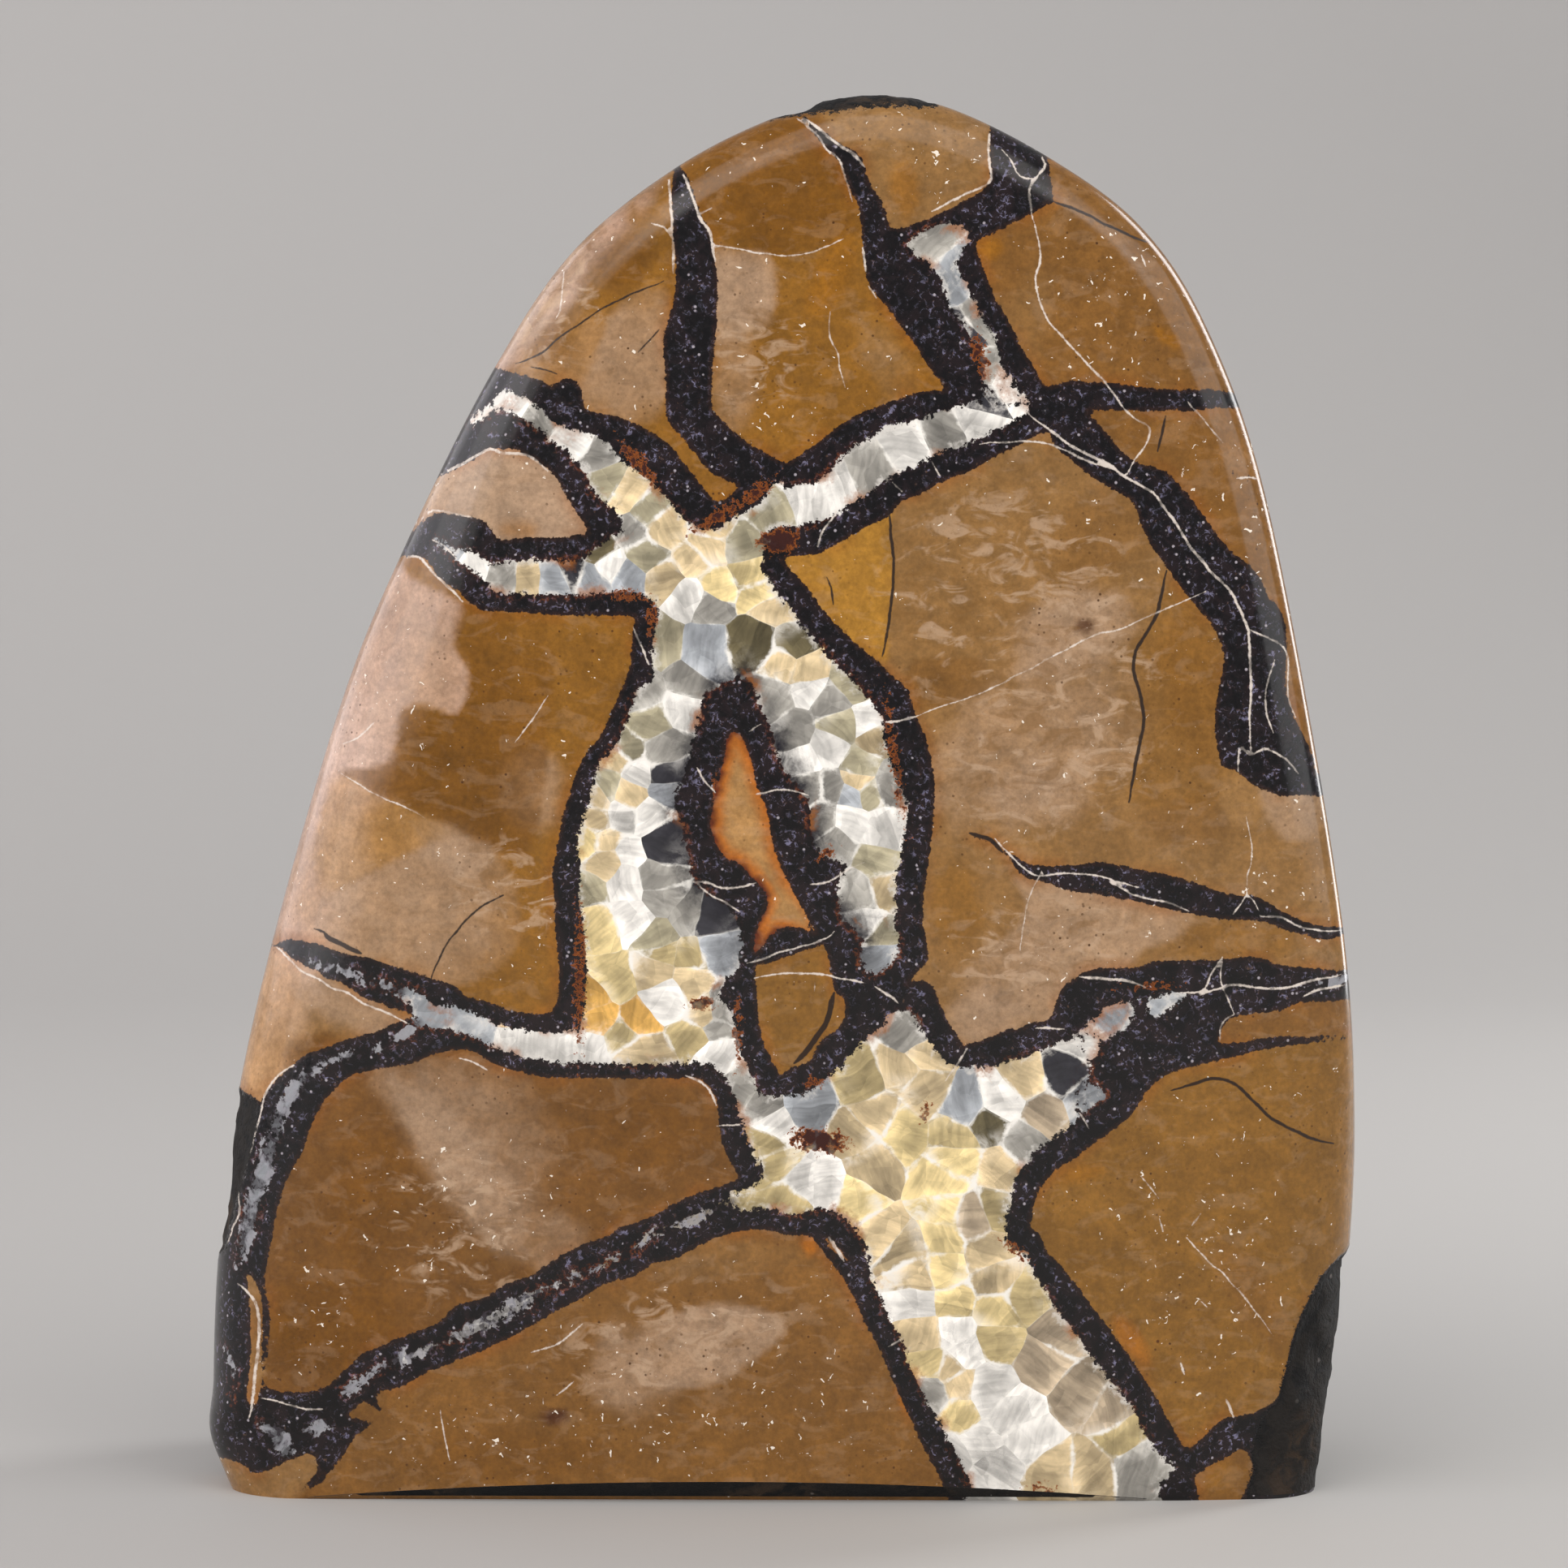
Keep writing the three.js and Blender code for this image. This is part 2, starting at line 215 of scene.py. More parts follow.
        (-23.5, 73.6), (-24, 70.8), (-24.3, 69), (-24.6, 67), (-24.3, 65), (-24.3, 62.6), (-24.1, 60),
        (-23.9, 57.6), (-23.9, 55.6), (-24.1, 54.1), (-24.6, 53), (-25.3, 52.7), (-27.3, 52.7), (-29.1, 53),
        (-30.8, 53.7), (-32.6, 54.1), (-34, 54.6), (-34.9, 55.5), (-37.6, 56.4), (-39.4, 57), (-41.4, 57.6),
        (-44.4, 58.5), (-46.9, 58.9), (-49.6, 59.7), (-51.2, 59.9), (-52.8, 60), (-54.2, 59.6), (-56, 59.2),
        (-64, 60), (-56, 90),
    ]),
    "left_small": ("tan", [
        (-60, 58.6), (-56, 58.8), (-54.8, 59), (-53.6, 58.8), (-52.8, 58.1), (-51.2, 57.4), (-49.6, 56.8),
        (-48.5, 56.1), (-47.2, 55.8), (-46.1, 55.2), (-45.2, 54.5), (-44.1, 53.9), (-42.6, 53.5), (-41.4, 53),
        (-39.2, 52.5), (-41.4, 51.5), (-42.6, 50.9), (-44.4, 50.3), (-46.2, 49.8), (-47.7, 49.3),
        (-49.3, 48.6), (-50.9, 48.1), (-52.1, 47.2), (-53.4, 46), (-54.7, 44.7), (-55.5, 43.8), (-56, 42.6),
        (-56.9, 43), (-58.8, 43.5), (-64, 44),
    ]),
    "islet": ("pink", [
        (-44, 102), (-40, 103.4), (-39.2, 104.2), (-38, 104.9), (-36.9, 105.5), (-35.9, 105.5),
        (-34.1, 105.3), (-32.6, 105), (-31.4, 104.5), (-30.8, 103.6), (-30.2, 102.8), (-29.1, 102.8),
        (-27, 103), (-24.1, 103), (-21.7, 103.3), (-20.8, 103.5), (-21.4, 104.9), (-22.3, 106.1),
        (-23.2, 107.7), (-24.1, 109.2), (-25.2, 110.4), (-26.4, 111.2), (-27.6, 111.8), (-28.4, 112.3),
        (-30.2, 112.3), (-31.1, 112.4), (-32, 111.8), (-33.5, 110.8), (-35, 110.1), (-36.2, 109.6),
        (-38, 109), (-44, 109),
    ]),
    "island": ("orange", [
        (-5.3, 82.6), (-4.6, 82), (-4, 80.8), (-3.4, 78.8), (-3, 76.8), (-2.2, 75), (-1.7, 73.3),
        (-1.4, 71.4), (-0.9, 69.5), (0.1, 67.2), (1, 65.4), (1.8, 64), (2.5, 62.6), (3.2, 61.3), (1.8, 61.8),
        (0.3, 62), (-0.8, 61.6), (-1.9, 60.6), (-3, 59.2), (-3.2, 60.4), (-2.7, 62.2), (-2, 63.8),
        (-1.8, 65.1), (-2.8, 66.6), (-4, 67.7), (-4.9, 68.8), (-6.2, 69.2), (-7.2, 70.7), (-7.8, 72.4),
        (-7.6, 74.8), (-7.2, 76.7), (-6.7, 78.5), (-6.3, 80.2), (-6.1, 81.8),
    ]),
    "island_lower": ("russet", [
        (-3, 57.8), (-1.7, 58.1), (0.1, 58.7), (1.8, 59.3), (3.3, 59.8), (4.2, 60), (4.6, 58.7), (4.9, 56.9),
        (5.2, 55.2), (5.8, 54.7), (6.4, 53.7), (6.3, 52.3), (5.5, 51.1), (4.2, 50.2), (3.3, 49), (2.7, 47.8),
        (1.5, 47.2), (0.4, 46.8), (-0.3, 46.2), (-0.9, 46.9), (-1.7, 48.4), (-2.3, 49.9), (-2.7, 51.7),
        (-2.9, 53.7), (-3, 55.8),
    ]),
}

# Zones filled with pale calcite, inside the dark lining of the cracks.
CALCITE = {
    "heart": [
        (-33.5, 115.2), (-32.6, 116.2), (-31, 117), (-30.3, 118.2), (-28.8, 118.4), (-27.2, 117.6),
        (-26, 116.6), (-24.8, 115.5), (-23.5, 114.6), (-21, 114), (-18.8, 113), (-17.9, 111.8),
        (-16.6, 110.5), (-15, 109.7), (-13.6, 108.3), (-12.1, 106.6), (-10.7, 105), (-9.8, 104.3),
        (-7.8, 103.9), (-6.3, 104.5), (-5.4, 105), (-4.6, 105.6), (-3.1, 106.3), (-1.7, 107.8), (-0.8, 109.2),
        (0.1, 108.1), (1.5, 108.6), (3, 108.6), (4.2, 109.5), (5.3, 110.5), (6.2, 111.7), (7.3, 112.6),
        (9, 113.4), (10.3, 114.4), (11.6, 114.8), (13.1, 115.1), (16, 116), (18, 116.7), (19.5, 117.2),
        (21, 117.9), (24.4, 119), (25.6, 116.7), (25.4, 115.9), (23.8, 115.2), (22, 114.2), (20, 113.3),
        (18.9, 112.7), (17.8, 112.3), (15.8, 111.7), (14.1, 110.8), (12.3, 110.1), (10.9, 109.2),
        (9.4, 108.2), (8, 107.2), (6.2, 106), (4.7, 105.2), (3, 104.5), (1.6, 104.3), (-0.8, 104),
        (-1.6, 103.6), (-1.9, 102.3), (-2.2, 101.1), (-2.7, 99.9), (-1.9, 99.1), (-1.3, 97.9), (-0.5, 96.7),
        (0.7, 95.3), (1.3, 94.2), (2.4, 93), (3.6, 91.8), (4.5, 90.4), (5.9, 89.2), (7.1, 88.1), (8.2, 86.6),
        (9.4, 85.4), (10.3, 84), (10.4, 82.2), (10.8, 80.5), (11.4, 79), (12, 77.3), (12.7, 75.6),
        (12.9, 74.1), (12.7, 71.8), (12.2, 70.4), (12.2, 69.2), (11.7, 67.7), (11.7, 66.3), (11.4, 64.8),
        (11.9, 63.7), (11.4, 62.5), (11.9, 61.3), (12, 59.8), (11.4, 58.4), (10.3, 57.5), (9.1, 56.9),
        (8.3, 57.8), (8, 59.2), (8.4, 60.4), (7.1, 61.9), (5.9, 62.8), (5.9, 63.9), (5.6, 65.4), (5.6, 66.6),
        (6.6, 68.3), (5, 69.2), (3.9, 69.5), (3.3, 70.6), (2.7, 72.1), (2.7, 73.8), (2.4, 75.6), (1.2, 77),
        (0.1, 78.5), (-0.8, 80.2), (-1.2, 82), (-1.9, 83.7), (-2.5, 85.1), (-3.4, 87.5), (-4.9, 88.3),
        (-6.3, 87.8), (-8.3, 86.6), (-8.8, 85.1), (-9.1, 83.4), (-9.8, 81.4), (-10.1, 79.6), (-10.7, 77.9),
        (-11.3, 76.4), (-11.8, 75), (-11, 73), (-10.5, 71), (-10.2, 69), (-9.8, 67), (-9, 66), (-5.5, 63.5),
        (-4.8, 61.5), (-4.6, 60), (-5, 57.5), (-6.5, 56), (-7, 54.5), (-5.6, 53), (-5, 51), (-4.9, 49.3),
        (-4.3, 47.9), (-3, 44.4), (-1.5, 43.9), (0, 44), (1.5, 44), (3, 44.8), (4.6, 45.8), (5.9, 46.9),
        (7.1, 48.6), (8.5, 49.9), (10, 51.1), (11, 52.3), (12.2, 53), (13.3, 52.7), (14.1, 51.4),
        (15.1, 49.9), (16, 48.7), (17.2, 47.5), (18.6, 46.8), (20, 47), (21.8, 46.8), (22.9, 47.4),
        (24.7, 47.7), (26.5, 48.4), (27.6, 48.7), (28.8, 49.5), (30.2, 49.8), (31.2, 50.7), (32.2, 46.5),
        (31.2, 41.8), (29.8, 40.4), (27.9, 39), (26.5, 38), (25.3, 36.1), (24.4, 35.2), (24.1, 33.7),
        (24, 32.3), (23.5, 31.1), (23.4, 29.3), (23.7, 28.1), (25.6, 26.9), (26.3, 25.2), (27, 24),
        (27.9, 22.5), (28.8, 21), (30, 19.5), (31.2, 18), (32.1, 16.5), (33.2, 15), (34.1, 13.8),
        (35.3, 12.3), (36.5, 11.1), (37.4, 9.6), (38, 8.1), (38.9, 6.6), (40.1, 4.8), (41.9, 3.6),
        (40.4, 2.3), (39.8, 1.4), (39, -3), (20, -3), (19.9, 1.6), (19.3, 3.4), (18.1, 5.5), (17.3, 7.3),
        (16.4, 9.1), (15.2, 10.9), (14.5, 12.7), (13.5, 14.5), (12.9, 16.3), (12.3, 18.1), (11.1, 20.2),
        (10.5, 21.6), (9.6, 23.4), (9, 25.2), (8.9, 27), (8.3, 28.5), (7.3, 29.9), (6.1, 31.1), (5.2, 31.7),
        (3.5, 32), (2.3, 31.6), (0.8, 31.3), (-0.4, 31.7), (-1.9, 32), (-3.3, 31.9), (-4.8, 31.7),
        (-5.6, 33.4), (-4.5, 33.8), (-3.3, 34.4), (-2.4, 35.2), (-2.6, 36.4), (-3.1, 37.3), (-3.8, 39),
        (-4.3, 40.8), (-4.9, 42.5), (-5.3, 44), (-6.2, 45.8), (-7.5, 47.2), (-10, 47.5), (-13, 47.4),
        (-16, 47.3), (-19, 47.4), (-22, 47.5), (-24, 48), (-23.5, 50.4), (-22, 50.8), (-21.5, 51.9),
        (-21.2, 54), (-21, 56.3), (-21, 58.7), (-21.2, 61), (-21.5, 63.4), (-21.8, 65.4), (-21.6, 67.7),
        (-21.9, 70), (-21.6, 72.4), (-21.1, 73.8), (-20.6, 75), (-20.3, 76.7), (-19.4, 79.3), (-17.9, 81.1),
        (-17.1, 82.5), (-16.5, 84), (-16, 85.7), (-15.3, 87.2), (-14, 88), (-13.9, 90.1), (-13.9, 92.4),
        (-13.6, 94.1), (-13.3, 95.6), (-14.2, 96.5), (-15.3, 97), (-17.4, 97.3), (-19.1, 97.2), (-22, 97),
        (-27, 97), (-29, 97), (-30.5, 97.2), (-31.6, 98.4), (-32.5, 99.2), (-34.1, 100.4), (-35.2, 101.2),
        (-37.1, 102.9), (-35.9, 102.4), (-34.9, 101.7), (-33.4, 101.7), (-32.2, 101.1), (-31, 100.1),
        (-29.9, 100.3), (-27.6, 100.5), (-23.2, 100.5), (-22, 100.5), (-20.3, 101.4), (-18.8, 102.8),
        (-17.1, 103.4), (-17.2, 104.6), (-17.9, 106), (-19.1, 106.8), (-20.3, 108.1), (-20.8, 109.8),
        (-22, 110.9), (-23, 112.2), (-24.3, 113), (-25.5, 114), (-27, 115.2), (-28.3, 115.9), (-30, 116.6),
        (-31.8, 115.6), (-33.2, 114.9),
    ],
    "crown": [
        (13, 133.5), (14.5, 132.3), (16, 131), (16.8, 129), (17.5, 127), (18.8, 125.5), (19.5, 124),
        (20.3, 122.8), (21, 119), (20.5, 117), (24.6, 117), (24.8, 118), (24, 119.5), (23, 120.5),
        (22.3, 123.5), (21.5, 125), (20.5, 126.5), (19.8, 128), (19, 130), (18, 131.5), (18.5, 133),
        (19.5, 135), (17, 136), (14, 134.8),
    ],
    "right_blue": [
        (31.5, 50.8), (33, 52.3), (34, 53.3), (35.5, 53.8), (37, 53.8), (37, 52.5), (36.3, 51.3), (35, 50.5),
        (33.8, 50),
    ],
    "right_white": [
        (38.2, 53.8), (39.5, 54.3), (41, 54.8), (42.8, 54.9), (42.2, 54), (41, 53.2), (40, 52.5),
        (38.8, 52.3),
    ],
    "right_tooth": [
        (30.8, 49.9), (31.5, 50.8), (33.6, 50), (33.3, 48.8), (32.8, 47.8), (32.2, 46.8), (31.8, 48),
    ],
    "right_low": [(32.3, 45.2), (33.9, 44.2), (33, 43.2), (31.3, 42), (30.8, 43), (31, 44.2)],
}

# Thin threads of pale calcite along the middle of a crack: x, z, half width.
THREADS = {
    "left_tip": [
        (-52, 58.2, 0.3), (-49, 57.5, 0.5), (-46.5, 57, 0.6), (-44.5, 56, 0.6), (-42, 55.4, 0.7),
        (-40, 54.6, 0.8),
    ],
    "left_arm": [
        (-40, 54.6, 0.6), (-38.8, 53.8, 0.9), (-38, 52.5, 1.2), (-35, 52.1, 1.2), (-32.5, 51.2, 1.1),
        (-30, 50, 1.2), (-27.5, 49.5, 1.4), (-25, 49, 1.5), (-22.5, 49.2, 1.8),
    ],
    "left_bend": [
        (-38, 52.5, 0.9), (-41, 50, 0.5), (-44, 48.6, 0.5), (-46.5, 48, 0.6), (-49.5, 47, 0.6),
        (-51.5, 45.3, 0.8), (-53, 43, 0.9), (-54, 41, 1), (-54.8, 38.5, 1.1), (-55.5, 36, 1.2),
        (-56.3, 33.5, 1.2), (-57, 31, 1.2), (-57.6, 29, 1.2), (-58.2, 26.5, 0.8), (-58.5, 24.5, 0.5),
    ],
    "diagonal": [
        (-5, 33, 0.8), (-7, 32.3, 0.7), (-9, 31.2, 0.6), (-11, 30.3, 0.6), (-13, 29.6, 0.5), (-15, 28.5, 0.5),
        (-17, 27, 0.5), (-19, 26, 0.5), (-21, 25.2, 0.6), (-23, 24.2, 0.6), (-25, 23.4, 0.6),
        (-27.5, 22, 1.1), (-30, 20.5, 1), (-32.5, 19.3, 1.1), (-35, 17.9, 0.8), (-37, 17, 0.5),
        (-39, 16.2, 0.9), (-41, 15.3, 0.9), (-43, 14.3, 0.6), (-45, 13, 0.6), (-47, 11.8, 0.7),
    ],
    "corner": [(-56, 8.2, 0.6), (-54.5, 7, 1.4), (-53.2, 5, 1), (-52.8, 4, 0.3)],
    "corner_right": [(-52, 7.3, 0.4), (-50.5, 7.7, 0.9), (-48.5, 8.6, 0.6)],
    "left_foot": [(-60.3, 16, 0.3), (-59.5, 14.5, 0.5), (-59, 12, 0.5), (-59.3, 10, 0.3)],
    "right_tip": [(54.5, 55.4, 0.2), (57, 55.5, 0.5), (59.5, 55.8, 0.9), (61, 55.8, 1)],
}

# Middles of the calcite crystals, by tone.
CRYSTALS = {
    "white": [
        (-29, 117), (-22.5, 113), (-32.5, 100.5), (-18.5, 100), (-10, 96.5), (2.3, 87), (8.5, 83.5),
        (4.8, 80.9), (2, 79.3), (7, 73), (10.2, 72.5), (8.5, 62.3), (-11, 85.3), (-15.5, 78.3), (-17, 74),
        (-14.5, 73.8), (-16.5, 69.8), (-17, 66.3), (-16.5, 63), (-12.5, 54.6), (-20.8, 49), (-7, 49),
        (-1, 41.2), (1.5, 34.5), (4.5, 34.3), (23.3, 43.5), (14.2, 22), (22.5, 4), (19, 16.5), (21.5, 12),
        (21, 6.5), (17.8, 18.5), (32, 48.9), (24.6, 9.5), (23.5, 119), (25.8, 7), (17.5, 5.6), (12.8, 113.2),
        (5.4, 108.8), (20.4, 115.6), (2.2, 107.2),
    ],
    "blue": [
        (-35, 102), (-24.5, 98.5), (-20.5, 98.6), (-16.5, 98.7), (-8.5, 91.3), (9.8, 59), (-7, 59.5),
        (2.5, 43), (34.8, 51.8), (40.7, 53.8), (32.3, 43.9), (-12.3, 76.6), (7, 76), (18, 131.5), (-40, 54.5),
        (19.6, 42.6),
    ],
    "grey": [
        (-26, 115.3), (-20, 111.5), (-16, 104), (-29.5, 99), (-8.2, 96), (-10.5, 88), (-1, 86), (1, 82.6),
        (4.6, 86), (11, 77), (5, 76.6), (2.4, 77), (3.8, 73), (5.5, 70.3), (8, 65.5), (-15.3, 86.7),
        (-13, 80.7), (-13.5, 67.3), (-10.5, 63.5), (-13, 65.3), (-4.7, 44.8), (-2, 43), (13.5, 50.3),
        (37.5, 3.5), (15.8, 12), (-7.3, 51.3), (-6.3, 53.2), (22, 126), (15.5, 133.6), (20.4, 121),
        (25.3, 39.5), (16.3, 114.4), (8.2, 110.3),
    ],
    "olive": [
        (-19, 109), (-14.5, 105.8), (-14.5, 101.2), (-4.5, 102.2), (-1.2, 105.6), (-12.8, 92), (7, 87.6),
        (5.8, 82.8), (8, 79), (9, 76.3), (9.7, 68.5), (9.8, 61), (-14.3, 83.8), (-16.6, 81), (-18.3, 77),
        (-20.3, 66), (-13.1, 61),
    ],
    "khaki": [(-3.3, 92.2), (0.6, 91.4), (-19.5, 101.5), (21.4, 41.2)],
    "smoke": [(-13, 70.5), (-12.4, 78.4), (-7.5, 63.2), (30, 46), (20.8, 117), (-22.7, 99.3), (18.7, 123.5)],
    "cream": [
        (-16.2, 107.3), (-12.5, 103.8), (-27.5, 98.7), (-10, 100.4), (-8, 102.2), (-12.5, 98.5), (0, 89.8),
        (1.6, 89.2), (7.8, 77.6), (9.6, 82), (10.7, 66.4), (-17.5, 79.5), (-19.8, 75.7), (-20, 73.6),
        (-16.2, 76.3), (-18.8, 71), (-19, 68.5), (-13.4, 57.3), (-10, 56), (-14.8, 48.8), (-8.5, 52.8),
        (7.4, 40), (12, 46.6), (14.5, 44.5), (14.8, 48.4), (9.4, 41.6), (22.5, 36), (25.5, 45.6),
        (12.3, 27.6), (10.4, 29), (14, 24.6), (21.5, 27.5), (22.6, 24.4), (18.5, 12.6), (17.3, 14.2),
        (-1.6, 95.4), (33, 3.4), (28.6, 3), (8.8, 36.3), (-7.4, 104.6), (14.5, 18.5),
    ],
    "honey": [
        (-7.5, 98), (-4, 99.6), (-3, 97.2), (-20.8, 71.5), (-19.5, 61.8), (-18, 56.5), (12.5, 40), (18.5, 37),
        (17, 34.6), (16.6, 29), (16.6, 25.5), (17.6, 22), (15.4, 14.4), (22.5, 20.6), (18.6, 10), (7.4, 33.4),
        (17, 31.6),
    ],
    "amber": [(-20.8, 54), (-19.8, 52.2), (-15.5, 51.9)],
    "taupe": [(29, 19), (27.5, 15.5), (34.5, 10), (31.5, 11.8), (20, 31), (26.8, 42.2)],
    "straw": [
        (22.3, 32), (26, 22.3), (22.3, 17.8), (35.8, 7.2), (18.5, 39.9), (0, 33), (8, 45.6), (-1, 36.6),
        (-2, 38.8), (-9.6, 50.9), (-16.8, 50.6), (-12.5, 59.2), (-10, 58.8),
    ],
}

